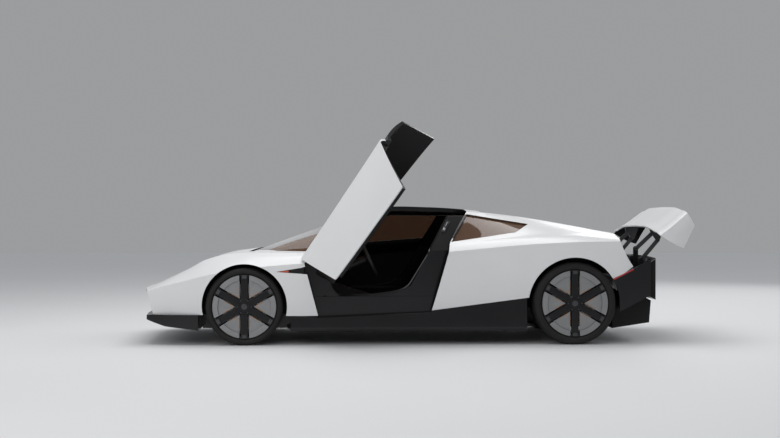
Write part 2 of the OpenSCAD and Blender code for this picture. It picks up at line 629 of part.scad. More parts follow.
module door_glass() {
  color([0.35, 0.2, 0.1, 0.6]) intersection() {
    slab(wall_grid(GLASS_KS, DOOR_ROWS, DOOR_FRONT, DOOR_REAR, glass_t),
         wall_grid(GLASS_KS, DOOR_ROWS, DOOR_FRONT, DOOR_REAR, 2 * glass_t));
    side_prism(shrunk(WINDOW, window_share), 300, 1000);
  }
}

// Tail: turned as a whole about a far centre between lowered and raised, carried by two pairs of links
TURN = [-1853 + rear_shift, 1429];
PIN_FRONT = [-1815 + rear_shift, 850];
PIN_REAR = [-1815 + rear_shift, 780];
rear_link_share = 0.9;
function turned(v, a) = [v[0] * cos(a) + v[1] * sin(a), v[1] * cos(a) - v[0] * sin(a)];
function raised(p) = TURN + turned(p - TURN, tail_tilt);
function pivot(p, swing) =
  TURN + turned(p - TURN, tail_tilt / 2) * (cos(tail_tilt / 2) + sin(tail_tilt / 2) / tan(swing / 2));
PIVOT_FRONT = pivot(PIN_FRONT, link_swing);
PIVOT_REAR = pivot(PIN_REAR, link_swing * rear_link_share);
// Planes of the linkage from the centre outwards: bracket, front link, tail bracket, rear link, bracket
plane_y = 440;
plane_step = 20;
function plane(i) = plane_y + i * plane_step;
// Clearance of the rear pin in its eye, for a link whose turn is tied to the other's by a fixed ratio
open_play = 3.8;
module raise_tail() {
  translate([TURN[0], 0, TURN[1]]) rotate([0, tail_tilt, 0]) translate([-TURN[0], 0, -TURN[1]]) children();
}
TAIL_KS = [0, 0.5, 1, 1.5, 2, 2.5, 3, 3.5, 4];
TAIL_ROWS = 5;
module tail_wall(d_out, d_in) {
  full_wall(TAIL_KS, TAIL_ROWS, shifted(TAIL_CUT, -panel_gap), TAIL_END, d_out, d_in);
}
module tail() { color("white") raise_tail() tail_wall(0, clam_t); }
TAIL_BACK_KS = [1, 1.5, 2, 2.5, 3, 3.5, 4];
tail_foot_z = 766;
tail_panel_play = 1.6;
function tail_back_grid(dx) = [for (s = steps(2)) [for (c = full_width([[for (k = TAIL_BACK_KS)
  deep(lookup(k, TAIL_END), k, clam_t + tail_panel_play)]])[0])
  [c[0] + 6 + dx, -c[1] * mix(0.965, 1, s), mix(tail_foot_z, c[2], s)]]];
module tail_panel() { color("black") raise_tail() slab(tail_back_grid(0), tail_back_grid(12)); }
TAIL_BRACKET = behind([[-1803, 766], [-1830, 766], [-1960, 860], [-1960, 940], [-1825, 940], [-1803, 872]]);
module tail_brackets() {
  color("black") raise_tail() difference() {
    both_sides() {
      side_prism(TAIL_BRACKET, plane(2), plane(2) + link_t);
      across(PIN_FRONT[0], PIN_FRONT[1], plane(1) - 1, plane(2) + 1, link_pin_r);
      across(PIN_REAR[0], PIN_REAR[1], plane(2) + 1, plane(3) + link_t + 1, link_pin_r);
    }
    tail_wall(-3 * over, clam_t + seat);
  }
}
module link(a, b, i, play_b) {
  both_sides() difference() {
    bar(a, b, plane(i), plane(i) + link_t, link_w);
    across(a[0], a[1], plane(i) - 1, plane(i) + link_t + 1, link_pin_r + pin_play);
    across(b[0], b[1], plane(i) - 1, plane(i) + link_t + 1, link_pin_r + play_b);
  }
}
module front_links() { color("dimgray") link(PIVOT_FRONT, raised(PIN_FRONT), 1, pin_play); }
module rear_links() { color("dimgray") link(PIVOT_REAR, raised(PIN_REAR), 3, open_play); }
deck_top = 600;
deck_x = EXHAUST[0] + 30;
deck_t = 18;
module tail_deck() {
  color("black") {
    intersection() {
      plan_prism(concat([[deck_x, 0], [deck_x, 870]], [for (i = [1:5]) BUMPER_INNER[i] + [seat, -seat]]),
                 deck_top - deck_t, deck_top);
      block([tip_x, -872, 0], [deck_x, 872, 1000]);
    }
    both_sides() {
      bar(PIVOT_FRONT, [PIVOT_FRONT[0], deck_top], plane(0), plane(0) + link_t, link_w + 8);
      across(PIVOT_FRONT[0], PIVOT_FRONT[1], plane(0), plane(1) + link_t + 1, link_pin_r);
      bar(PIVOT_REAR, [PIVOT_REAR[0], deck_top], plane(4), plane(4) + link_t, link_w + 8);
      across(PIVOT_REAR[0], PIVOT_REAR[1], plane(3) - 1, plane(4) + link_t, link_pin_r);
    }
  }
}

// Wheels, drawn with their axis along Z and their outer face up
rim_wall = 10;
flange_t = 10;
flange_in = 8;
hub_r = 70;
module left_wheel(x, track, r) { translate([x, track, r]) rotate([-90, 0, 0]) children(); }
module right_wheel(x, track, r) { mirror([0, 1, 0]) left_wheel(x, track, r) children(); }
// Columns: radius, height of one half of the tyre's section
function tyre_half(r, w, rim) = [
  [rim - flange_in + seat, w / 2 - flange_t - flange_in - seat],
  [rim + 1, w / 2 - flange_t - flange_in - seat], [rim + 9, w / 2 - 4], [mix(rim, r, 0.45), w / 2],
  [mix(rim, r, 0.72), w / 2 - 4], [r - 6, w / 2 - 16], [r, w / 2 - 36]];
module tyre(r, w, rim) {
  half = tyre_half(r, w, rim);
  color([0.08, 0.08, 0.08]) rotate_extrude()
    polygon(concat(half, [for (i = [len(half) - 1:-1:0]) [half[i][0], -half[i][1]]]));
}
module rim(w, rim) {
  h = w / 2 - flange_in;
  s = h - flange_t;
  bore = rim - flange_in - rim_wall;
  color("lightgray") {
    rotate_extrude() polygon([[bore, -h], [rim, -h], [rim, -s], [rim - flange_in, -s], [rim - flange_in, s],
                              [rim, s], [rim, h], [bore, h]]);
    difference() {
      translate([0, 0, w / 2 - 34]) cylinder(r = bore + 2, h = 12);
      translate([0, 0, w / 2 - 35]) cylinder(r = hub_r + 4, h = 14);
      for (i = [0:spoke_n - 1]) rotate((i + 0.5) * 360 / spoke_n)
        translate([0, -spoke_w / 2 - plate_gap, w / 2 - 35]) cube([bore + over, spoke_w + 2 * plate_gap, 14]);
    }
  }
}
module spokes(w, rim) {
  bore = rim - flange_in - rim_wall;
  color([0.05, 0.05, 0.05]) difference() {
    union() {
      translate([0, 0, -20]) cylinder(r = hub_r, h = w / 2 + 14);
      translate([0, 0, w / 2 - 110]) cylinder(r = brake_r, h = 26);
      intersection() {
        for (i = [0:spoke_n - 1]) rotate((i + 0.5) * 360 / spoke_n)
          translate([hub_r - 10, -spoke_w / 2, w / 2 - 52]) cube([bore, spoke_w, 42]);
        translate([0, 0, w / 2 - 60]) cylinder(r = bore - 0.4, h = 60);
      }
    }
    translate([0, 0, -21]) cylinder(r = spindle_r + pin_play, h = w / 2 - 9);
  }
}

// Front knuckles on their steering pins, and the wishbones that carry them
king_offset = 60;
king_y = track_f - king_offset;
king_h = 110;
arm_t = 20;
king_pin_h = king_h + arm_t + 6;
module knuckle() {
  color("silver") {
    translate([front_x, king_y, tyre_f_r - king_h]) cylinder(r = 30, h = 2 * king_h);
    translate([front_x, king_y, tyre_f_r - king_pin_h]) cylinder(r = king_r, h = 2 * king_pin_h);
    across(front_x, tyre_f_r, king_y, track_f + tyre_f_w / 2 - 42, spindle_r);
    block([front_x - 190, king_y + 20, tyre_f_r - 60], [front_x - 120, king_y + 64, tyre_f_r + 60]);
    block([front_x - 130, king_y + 14, tyre_f_r - 20], [front_x, king_y + 34, tyre_f_r + 20]);
  }
}
module front_suspension() {
  color("dimgray") both_sides() for (z = [tyre_f_r + king_h + 0.5, tyre_f_r - king_h - arm_t - 0.5])
    translate([0, 0, z]) difference() {
      union() {
        translate([front_x, king_y, 0]) cylinder(r = 32, h = arm_t);
        linear_extrude(arm_t) polygon([[front_x + 20, king_y], [front_x + 160, box_y], [front_x + 110, box_y],
          [front_x, king_y - 60], [front_x - 110, box_y], [front_x - 160, box_y], [front_x - 20, king_y]]);
      }
      translate([front_x, king_y, -1]) cylinder(r = king_r + pin_play, h = arm_t + 2);
    }
}
upright_offset = 145;
upright_t = 50;
upright_y = track_r - upright_offset - upright_t;
module rear_suspension() {
  color("dimgray") both_sides() {
    across(rear_x, tyre_r_r, upright_y, track_r + tyre_r_w / 2 - 42, spindle_r);
    block([rear_x - 60, upright_y, tyre_r_r - 120], [rear_x + 60, upright_y + upright_t, tyre_r_r + 120]);
    for (z = [tyre_r_r - 110, tyre_r_r + 90])
      translate([rear_x, 0, z]) linear_extrude(arm_t)
        polygon([[40, upright_y], [100, rail_y], [60, rail_y], [0, mix(rail_y, upright_y, 0.75)], [-60, rail_y],
                 [-100, rail_y], [-40, upright_y]]);
  }
}

// Cabin and engine
DASH = concat([[front_wall_x - wall_t, 500], [front_wall_x - wall_t, 720]],
              ahead([[800, 742], [610, 704], [565, 620], [640, 500]]));
CONSOLE = concat(behind([[-430, floor_z], [-430, 330]]), [[250, 360]],
                 ahead([[690, 500], [760, 500], [760, floor_z]]));
STEER = [335 + front_shift, seat_y, 715];
steer_tilt = 25;
module dashboard() {
  color([0.1, 0.1, 0.1]) {
    side_prism(DASH, -680, 680);
    side_prism(CONSOLE, -95, 95);
    translate(STEER) rotate([0, 90 + steer_tilt, 0]) translate([0, 0, 24]) cylinder(r = 32, h = 280);
  }
}
module steering_wheel() {
  color([0.06, 0.06, 0.06]) translate(STEER) rotate([0, 90 + steer_tilt, 0]) {
    rotate_extrude() translate([steer_r, 0]) circle(r = 15);
    translate([0, 0, -18]) cylinder(r = 42, h = 42 - seat);
    for (a = [0, 120, 240]) rotate(a) translate([0, -16, -8]) cube([steer_r, 32, 14]);
  }
}
SEAT_SIDE = [[230, floor_z], [245, 290], [200, 330], [-210, 268], [-385, 890], [-450, 930], [-495, 890],
             [-340, floor_z]];
BOLSTER = [[225, floor_z], [235, 345], [190, 370], [-170, 330], [-300, 760], [-420, 760], [-340, floor_z]];
bolster_w = 60;
module seats() {
  color([0.12, 0.1, 0.09]) both_sides() translate([rear_shift, seat_y, 0]) {
    side_prism(SEAT_SIDE, -seat_w / 2 + 20, seat_w / 2 - 20);
    for (y = [-seat_w / 2, seat_w / 2 - bolster_w]) side_prism(BOLSTER, y, y + bolster_w);
  }
}
module engine_block() { color("gray") block([rear_x + 110, -250, floor_z], [rear_wall_x - 130, 250, 600]); }

cabin_tub();
front_clam();
nose_panel();
head_lamps();
splitter();
fender_vents();
side_markers();
screen_frame();
windscreen();
front_quarter_glass();
roof_spine();
rear_clam();
rear_quarter_glass();
wheel_liners();
engine_cover();
side_skirts();
rear_bumper();
tail_lamps();
exhaust();
diffuser();
tail_deck();
dashboard();
steering_wheel();
seats();
engine_block();
front_suspension();
rear_suspension();
knuckle();  // knuckle_left
mirror([0, 1, 0]) knuckle();  // knuckle_right
left_wheel(front_x, track_f, tyre_f_r) tyre(tyre_f_r, tyre_f_w, rim_f_r);  // tyre_front_left
left_wheel(front_x, track_f, tyre_f_r) rim(tyre_f_w, rim_f_r);  // rim_front_left
left_wheel(front_x, track_f, tyre_f_r) spokes(tyre_f_w, rim_f_r);  // spokes_front_left
right_wheel(front_x, track_f, tyre_f_r) tyre(tyre_f_r, tyre_f_w, rim_f_r);  // tyre_front_right
right_wheel(front_x, track_f, tyre_f_r) rim(tyre_f_w, rim_f_r);  // rim_front_right
right_wheel(front_x, track_f, tyre_f_r) spokes(tyre_f_w, rim_f_r);  // spokes_front_right
left_wheel(rear_x, track_r, tyre_r_r) tyre(tyre_r_r, tyre_r_w, rim_r_r);  // tyre_rear_left
left_wheel(rear_x, track_r, tyre_r_r) rim(tyre_r_w, rim_r_r);  // rim_rear_left
left_wheel(rear_x, track_r, tyre_r_r) spokes(tyre_r_w, rim_r_r);  // spokes_rear_left
right_wheel(rear_x, track_r, tyre_r_r) tyre(tyre_r_r, tyre_r_w, rim_r_r);  // tyre_rear_right
right_wheel(rear_x, track_r, tyre_r_r) rim(tyre_r_w, rim_r_r);  // rim_rear_right
right_wheel(rear_x, track_r, tyre_r_r) spokes(tyre_r_w, rim_r_r);  // spokes_rear_right
left_door() door_skin();  // door_skin_left
left_door() door_frame();  // door_frame_left
left_door() door_glass();  // door_glass_left
right_door() door_skin();  // door_skin_right
right_door() door_frame();  // door_frame_right
right_door() door_glass();  // door_glass_right
tail();
tail_panel();
tail_brackets();
front_links();
rear_links();
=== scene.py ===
# %% [markdown]
# A low, wedge-shaped two-seat concept car: satin white panels over gloss black trim, brown glass, one door
# swung up on its slanted hinge and the tail raised on its links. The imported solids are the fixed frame.
# Each step below dresses some of them with a finer mesh of the same form, in metres, and a finish.

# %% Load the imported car
import json
import math

import bmesh
import bpy
import numpy as np
from mathutils import Matrix, Vector


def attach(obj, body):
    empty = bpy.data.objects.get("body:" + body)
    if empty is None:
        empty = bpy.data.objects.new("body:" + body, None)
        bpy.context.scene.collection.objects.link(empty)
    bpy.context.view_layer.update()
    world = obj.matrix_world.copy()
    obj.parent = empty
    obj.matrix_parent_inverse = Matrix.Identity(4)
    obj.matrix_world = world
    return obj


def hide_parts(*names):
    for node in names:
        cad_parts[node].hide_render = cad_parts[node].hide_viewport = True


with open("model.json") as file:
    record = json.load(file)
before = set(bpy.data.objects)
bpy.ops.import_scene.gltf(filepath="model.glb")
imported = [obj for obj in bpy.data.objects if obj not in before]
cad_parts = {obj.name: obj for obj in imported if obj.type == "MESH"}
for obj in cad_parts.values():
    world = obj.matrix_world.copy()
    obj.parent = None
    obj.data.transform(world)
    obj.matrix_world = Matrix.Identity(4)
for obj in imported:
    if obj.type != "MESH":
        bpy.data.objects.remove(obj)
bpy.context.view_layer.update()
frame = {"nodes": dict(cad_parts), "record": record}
NODES = frame["nodes"]
BODY_OF = {n: b for b, nodes in frame["record"]["behaviour"]["bodies"].items() for n in nodes}
scene = bpy.context.scene
MM = 0.001
print("packed nodes:", len(NODES))

# %% [markdown]
# The photograph was taken level with the roof, from far off to the car's left, with a long lens. A camera
# with the same place and lens gives the same overlaps, which no later shift of the picture could.

# %% Camera
CAMERA_PLACE = (0.657, 12.083, 1.051)
CAMERA_TURN = 177.5
CAMERA_LENS = 61.9
camera_data = bpy.data.cameras.new("side_camera")
camera_data.lens = CAMERA_LENS
camera_data.sensor_width = 36
camera = bpy.data.objects.new("side_camera", camera_data)
camera.location = CAMERA_PLACE
camera.rotation_euler = (math.radians(90), 0, math.radians(CAMERA_TURN))
scene.collection.objects.link(camera)
scene.camera = camera
print("camera at", CAMERA_PLACE)

# %% [markdown]
# Plain soft studio light: one wide box over the car, one low on the camera's side and one behind, with a
# pale world. Each colour then renders about as it is written, and the floor keeps the shadow. The world
# shows a darker grey to the camera, and to glass and gloss, so that white panels stand out against it.

# %% Light and floor
scene.view_settings.view_transform = "Standard"
BACKDROP_GREY = (0.33, 0.335, 0.34)
WORLD_GREY = (0.80, 0.82, 0.85)
WORLD_LEVEL = 0.58
FLOOR_HALF = 30.0


def new_object(name, data):
    obj = bpy.data.objects.new(name, data)
    scene.collection.objects.link(obj)
    return obj


def softbox(name, place, aim, size, watts):
    light = bpy.data.lights.new(name, "AREA")
    light.shape = "RECTANGLE"
    light.size, light.size_y = size
    light.energy = watts
    lamp = new_object(name, light)
    lamp.location = place
    lamp.rotation_euler = (Vector(aim) - Vector(place)).to_track_quat("-Z", "Y").to_euler()


def add(tree, kind, operation=None, **values):
    """A new node, with its operation and some of its inputs set."""
    node = tree.nodes.new(kind)
    if operation:
        node.operation = operation
    for label, value in values.items():
        node.inputs[label.replace("_", " ")].default_value = value
    return node


def wire(tree, *pairs):
    """Links each output to its input."""
    for output, socket in pairs:
        tree.links.new(output, socket)


softbox("top_box", (0.6, -0.4, 7.5), (0, 0, 0.5), (9.0, 4.0), 360)
softbox("side_box", (4.6, 9.0, 4.2), (0, 0, 0.6), (6.0, 3.0), 170)
softbox("back_box", (-6.0, -8.0, 4.6), (0, 0, 0.6), (6.0, 3.0), 140)

world = bpy.data.worlds.new("studio")
world.use_nodes = True
scene.world = world
sky = world.node_tree
lit = sky.nodes["Background"]
lit.inputs["Color"].default_value = (*WORLD_GREY, 1)
lit.inputs["Strength"].default_value = WORLD_LEVEL
seen = add(sky, "ShaderNodeBackground", Color=(*BACKDROP_GREY, 1), Strength=1.0)
path = add(sky, "ShaderNodeLightPath")
pick = add(sky, "ShaderNodeMixShader")
shown = path.outputs["Is Camera Ray"]
for other in ("Is Glossy Ray", "Is Transmission Ray"):
    either = add(sky, "ShaderNodeMath", "MAXIMUM")
    wire(sky, (shown, either.inputs[0]), (path.outputs[other], either.inputs[1]))
    shown = either.outputs[0]
wire(sky, (shown, pick.inputs[0]), (lit.outputs[0], pick.inputs[1]), (seen.outputs[0], pick.inputs[2]),
     (pick.outputs[0], sky.nodes["World Output"].inputs["Surface"]))

floor_mesh = bpy.data.meshes.new("studio_floor")
floor_mesh.from_pydata([(x, y, 0) for x, y in ((-1, -1), (1, -1), (1, 1), (-1, 1))], [], [(0, 1, 2, 3)])
floor_mesh.transform(Matrix.Scale(FLOOR_HALF, 4))
floor = new_object("studio_floor", floor_mesh)
print("three soft boxes and a pale floor")

# %% [markdown]
# Real finishes are never one flat colour. A shader group gives each material two things from Object
# coordinates: a cloudy mask for slow changes of colour and gloss, and a fine height for orange peel,
# moulding grain or rubber. Leather has a group of its own, with cells for pores, and a third group gives
# road dust that thins out upwards. Each is built once and placed in the materials with their own values.

# %% Shared surface groups
PORE_DEPTH = 0.22
DUST_PATCHES = 9


def shader_group(name, inputs, outputs):
    group = bpy.data.node_groups.new(name, "ShaderNodeTree")
    for label, value in inputs.items():
        socket = group.interface.new_socket(label, in_out="INPUT", socket_type="NodeSocketFloat")
        socket.default_value = value
    for label in outputs:
        group.interface.new_socket(label, in_out="OUTPUT", socket_type="NodeSocketFloat")
    place = add(group, "ShaderNodeTexCoord").outputs["Object"]
    return group, place, add(group, "NodeGroupInput").outputs, add(group, "NodeGroupOutput").inputs


def fine_grain_group():
    group, place, given, out = shader_group("fine_grain", {"Cloud Scale": 3, "Grain Scale": 400},
                                            ["Mask", "Height"])
    for label, socket, detail in (("Cloud Scale", "Mask", 4), ("Grain Scale", "Height", 2)):
        noise = add(group, "ShaderNodeTexNoise", Detail=detail)
        wire(group, (place, noise.inputs["Vector"]), (given[label], noise.inputs["Scale"]),
             (noise.outputs["Fac"], out[socket]))
    return group


def hide_group():
    group, place, given, out = shader_group("hide_grain", {"Cloud Scale": 5, "Grain Scale": 500},
                                            ["Mask", "Height"])
    cells = add(group, "ShaderNodeTexVoronoi")
    cells.feature = "DISTANCE_TO_EDGE"
    cloud = add(group, "ShaderNodeTexNoise")
    pores = add(group, "ShaderNodeMath", "MINIMUM")
    pores.inputs[1].default_value = PORE_DEPTH
    wire(group, (place, cells.inputs["Vector"]), (given["Grain Scale"], cells.inputs["Scale"]),
         (place, cloud.inputs["Vector"]), (given["Cloud Scale"], cloud.inputs["Scale"]),
         (cells.outputs["Distance"], pores.inputs[0]), (pores.outputs[0], out["Height"]),
         (cloud.outputs["Fac"], out["Mask"]))
    return group


def road_dust_group():
    group, place, given, out = shader_group("road_dust", {"Top": 0.5, "Amount": 0.3}, ["Dust"])
    split = add(group, "ShaderNodeSeparateXYZ")
    low = add(group, "ShaderNodeMapRange", To_Min=1, To_Max=0)
    noise = add(group, "ShaderNodeTexNoise", Scale=DUST_PATCHES, Detail=6)
    patch, dust = (add(group, "ShaderNodeMath", "MULTIPLY") for _ in range(2))
    wire(group, (place, split.inputs[0]), (split.outputs["Z"], low.inputs["Value"]),
         (given["Top"], low.inputs["From Max"]), (place, noise.inputs["Vector"]),
         (low.outputs[0], patch.inputs[0]), (noise.outputs["Fac"], patch.inputs[1]),
         (patch.outputs[0], dust.inputs[0]), (given["Amount"], dust.inputs[1]),
         (dust.outputs[0], out["Dust"]))
    return group


GRAIN, HIDE, DUST = fine_grain_group(), hide_group(), road_dust_group()
DUST_COLOUR = (0.30, 0.27, 0.23)
print("surface groups:", GRAIN.name, HIDE.name, DUST.name)

# %% [markdown]
# One function makes every material from a few numbers: two colours and two roughnesses that the cloudy mask
# mixes, the scales of cloud and grain, and the strength and depth of the bump. Plain values, such as the
# coat, go straight to the shader's own sockets.

# %% One function for all finishes


def group_node(tree, group, values):
    node = add(tree, "ShaderNodeGroup")
    node.node_tree = group
    for socket, value in zip(node.inputs, values):
        socket.default_value = value
    return node


def mixed(tree, share, first, second):
    """The output of a mix of two colours, each of them a value or another output."""
    mix = add(tree, "ShaderNodeMix")
    mix.data_type = "RGBA"
    wire(tree, (share, mix.inputs[0]))
    for socket, colour in ((mix.inputs[6], first), (mix.inputs[7], second)):
        if isinstance(colour, tuple):
            socket.default_value = (*colour, 1)
        else:
            wire(tree, (colour, socket))
    return mix.outputs[2]


def finish(name, colours, rough, grain, bump, dust=None, group=GRAIN, **sockets):
    material = bpy.data.materials.new(name)
    material.use_nodes = True
    tree = material.node_tree
    shader = tree.nodes["Principled BSDF"].inputs
    for label, value in sockets.items():
        shader[label.replace("_", " ")].default_value = value
    surface = group_node(tree, group, grain).outputs
    base = mixed(tree, surface["Mask"], *colours)
    if dust:
        base = mixed(tree, group_node(tree, DUST, dust).outputs["Dust"], base, DUST_COLOUR)
    gloss = add(tree, "ShaderNodeMapRange", To_Min=rough[0], To_Max=rough[1])
    relief = add(tree, "ShaderNodeBump", Strength=bump[0], Distance=bump[1])
    wire(tree, (base, shader["Base Color"]), (surface["Mask"], gloss.inputs["Value"]),
         (gloss.outputs[0], shader["Roughness"]), (surface["Height"], relief.inputs["Height"]),
         (relief.outputs["Normal"], shader["Normal"]))
    return material


def lens(name, colours, rough=(0.10, 0.18)):
    return finish(name, colours, rough, (30, 220), (0.10, 0.0006), Coat_Weight=0.8, Coat_Roughness=0.04)


print("finishes take a name, colours, roughness, grain, bump and dust")

# %% [markdown]
# The palette: satin white paint with a little orange peel under a thin lacquer, gloss black carbon, grained
# black trim, brown glass, rubber, satin grey plates, copper, leather, cast metal and the three lamp colours.

# %% Finishes
PAINT = finish("satin_white", [(0.70, 0.70, 0.705), (0.76, 0.76, 0.76)], (0.30, 0.38), (2.2, 650),
               (0.05, 0.0004), dust=(0.45, 0.10), Coat_Weight=0.35, Coat_Roughness=0.22)
BLACK = finish("gloss_black", [(0.005, 0.005, 0.006), (0.010, 0.010, 0.011)], (0.12, 0.24), (4, 300),
               (0.03, 0.0003), dust=(0.30, 0.015), Coat_Weight=0.15, Coat_Roughness=0.08,
               Specular_IOR_Level=0.28)
TRIM = finish("trim_black", [(0.008, 0.008, 0.009), (0.018, 0.018, 0.019)], (0.45, 0.62), (6, 900),
              (0.25, 0.0005), dust=(0.35, 0.03), Specular_IOR_Level=0.2)
MESH = finish("rear_mesh", [(0.006, 0.006, 0.007), (0.012, 0.012, 0.013)], (0.8, 0.9), (40, 900),
              (0.3, 0.001), Specular_IOR_Level=0.04)
GLASS = finish("tinted_glass", [(0.20, 0.105, 0.060), (0.235, 0.125, 0.075)], (0.02, 0.05), (2, 60),
               (0.01, 0.0002), Transmission_Weight=0.55, IOR=1.5)
RUBBER = finish("tyre_rubber", [(0.010, 0.010, 0.010), (0.020, 0.019, 0.018)], (0.62, 0.80), (14, 420),
                (0.35, 0.001), dust=(0.12, 0.06), Specular_IOR_Level=0.25)
PLATE = finish("satin_plate", [(0.23, 0.235, 0.24), (0.29, 0.29, 0.295)], (0.34, 0.46), (20, 700),
               (0.08, 0.0003), dust=(0.5, 0.12), Metallic=0.55)
SPOKE = finish("spoke_black", [(0.006, 0.006, 0.007), (0.012, 0.012, 0.013)], (0.24, 0.36), (14, 800),
               (0.08, 0.0003), dust=(0.3, 0.02), Coat_Weight=0.1, Coat_Roughness=0.15, Specular_IOR_Level=0.2)
COPPER = finish("copper_trim", [(0.42, 0.20, 0.09), (0.52, 0.27, 0.13)], (0.26, 0.38), (30, 900),
                (0.08, 0.0003), Metallic=0.9)
STEEL = finish("bare_steel", [(0.36, 0.36, 0.37), (0.48, 0.48, 0.49)], (0.28, 0.44), (12, 500),
               (0.12, 0.0004), Metallic=1.0)
LINK = finish("link_steel", [(0.05, 0.05, 0.052), (0.085, 0.085, 0.088)], (0.30, 0.42), (16, 500),
              (0.10, 0.0004), Metallic=0.7)
LEATHER = finish("cabin_leather", [(0.022, 0.019, 0.018), (0.036, 0.031, 0.029)], (0.42, 0.58), (7, 420),
                 (0.35, 0.0012), group=HIDE)
CAST = finish("cast_grey", [(0.17, 0.17, 0.18), (0.25, 0.25, 0.26)], (0.5, 0.68), (9, 520),
              (0.4, 0.0009), Metallic=0.6)
LAMP_RED = lens("lamp_red", [(0.42, 0.010, 0.008), (0.52, 0.018, 0.012)])
LAMP_AMBER = lens("lamp_amber", [(0.50, 0.060, 0.014), (0.60, 0.085, 0.020)])
LAMP_WHITE = lens("lamp_white", [(0.66, 0.68, 0.70), (0.78, 0.79, 0.80)], (0.08, 0.16))
FLOOR = finish("studio_paper", [(0.70, 0.705, 0.71), (0.74, 0.745, 0.75)], (0.6, 0.7), (0.4, 200),
               (0.02, 0.0005))
floor.data.materials.append(FLOOR)
print("finishes:", len(bpy.data.materials))

# %% [markdown]
# The outer skin follows a table of stations along the car. Each row holds a place along the car, then y and
# z of the lower edge, the shoulder, the belt and the roof rail, and the height of the centre line. Between
# two stations each column is a cubic, and between the feature lines of a section the skin swells a little.
# The same rule as the solids', on a finer grid, gives panels that flow into one another and still fit the
# solids to a fraction of a millimetre.

# %% Skin of the car
STATIONS = np.array([
    [2200, 772, 252, 790, 447, 640, 458, 330, 462, 464],
    [2059, 803, 252, 842, 490, 680, 530, 400, 528, 522],
    [1855, 846, 252, 893, 541, 705, 632, 430, 615, 598],
    [1724, 868, 252, 918, 575, 725, 704, 440, 672, 645],
    [1551, 886, 245, 938, 612, 750, 752, 440, 720, 692],
    [1380, 893, 245, 947, 640, 768, 769, 600, 762, 735],
    [1300, 894, 245, 946, 648, 778, 770, 740, 788, 790],
    [1100, 895, 245, 943, 666, 800, 768, 721, 854, 900],
    [870, 893, 243, 936, 682, 815, 765, 684, 935, 995],
    [560, 889, 250, 934, 704, 820, 784, 633, 1036, 1085],
    [190, 887, 265, 934, 734, 825, 810, 574, 1140, 1158],
    [-200, 887, 282, 937, 765, 830, 840, 572, 1134, 1158],
    [-502, 890, 322, 944, 794, 832, 868, 566, 1116, 1140],
    [-990, 903, 386, 962, 838, 820, 912, 480, 1066, 1084],
    [-1378, 925, 430, 976, 858, 790, 925, 410, 1004, 1018],
    [-1763, 915, 570, 938, 864, 760, 895, 350, 936, 940],
    [-1884, 892, 651, 912, 866, 745, 886, 340, 918, 922],
    [-2110, 838, 768, 846, 880, 700, 900, 330, 926, 930]], float)[::-1]
SWELL = (14, 10, 10)
SWELL_CHORD = 150
CENTRE = 9
STEP_X, STEP_K = 4, 0.04


def column(x, c):
    """One column of the table at the places x, by a cubic through the stations."""
    xs, v = STATIONS[:, 0], STATIONS[:, c]
    last = len(xs) - 1
    before = np.maximum(np.arange(last + 1) - 1, 0)
    after = np.minimum(np.arange(last + 1) + 1, last)
    slope = (v[after] - v[before]) / (xs[after] - xs[before])
    x = np.clip(x, xs[0], xs[-1])
    i = np.clip(np.searchsorted(xs, x, side="right") - 1, 0, last - 1)
    w = xs[i + 1] - xs[i]
    t = (x - xs[i]) / w
    return (v[i] * (1 + 2 * t) * (1 - t) ** 2 + slope[i] * w * t * (1 - t) ** 2
            + v[i + 1] * t * t * (3 - 2 * t) - slope[i + 1] * w * t * t * (1 - t))


def skin(x, k):
    """The left half's outer surface: k is 0 at the lower edge, 1 shoulder, 2 belt, 3 rail, 4 centre."""
    j = min(int(k), 3)
    t, c = k - j, 1 + 2 * j
    y0, z0 = column(x, c), column(x, c + 1)
    if j == 3:
        z1 = column(x, CENTRE)
        return np.stack([x, y0 * (1 - t), z0 + (z1 - z0) * math.sin(math.pi / 2 * t)], -1)
    y1, z1 = column(x, c + 2), column(x, c + 3)
    chord = np.hypot(z1 - z0, y0 - y1)
    swell = SWELL[j] * math.sin(math.pi * t) * np.minimum(chord / SWELL_CHORD, 1) / chord
    return np.stack([x, y0 + (y1 - y0) * t + swell * (z1 - z0), z0 + (z1 - z0) * t + swell * (y0 - y1)], -1)


def deep(x, k, depth):
    """The surface moved inwards by a depth along its normal."""
    along = skin(x - STEP_X, k) - skin(x + STEP_X, k)
    up = np.array([[0, -1.0, 0]]) if k >= 4 else skin(x, k + STEP_K) - skin(x, max(k - STEP_K, 0))
    out = np.cross(along, np.broadcast_to(up, along.shape))
    return skin(x, k) - depth * out / np.linalg.norm(out, axis=-1, keepdims=True)


def fine(ks, n):
    """A list of section positions with n steps in each interval."""
    return np.unique(np.concatenate([np.linspace(a, b, n + 1) for a, b in zip(ks, ks[1:])]))


def line(points, dx=0):
    """A shut line as a function of k."""
    k, x = np.array(points, float).T
    return lambda at: np.interp(at, k, x) + dx


def wall_grid(ks, rows, front, rear, depth):
    """Points of the skin between two shut lines, at one depth or at a depth for each k."""
    s = np.linspace(0, 1, rows + 1)
    d = np.broadcast_to(depth, (len(ks),))
    return np.stack([deep(front(k) + (rear(k) - front(k)) * s, k, d[i]) for i, k in enumerate(ks)], 1)


def full_width(grid):
    other = grid[:, -2::-1] * np.array([1, -1, 1])
    return np.concatenate([grid, other], 1)


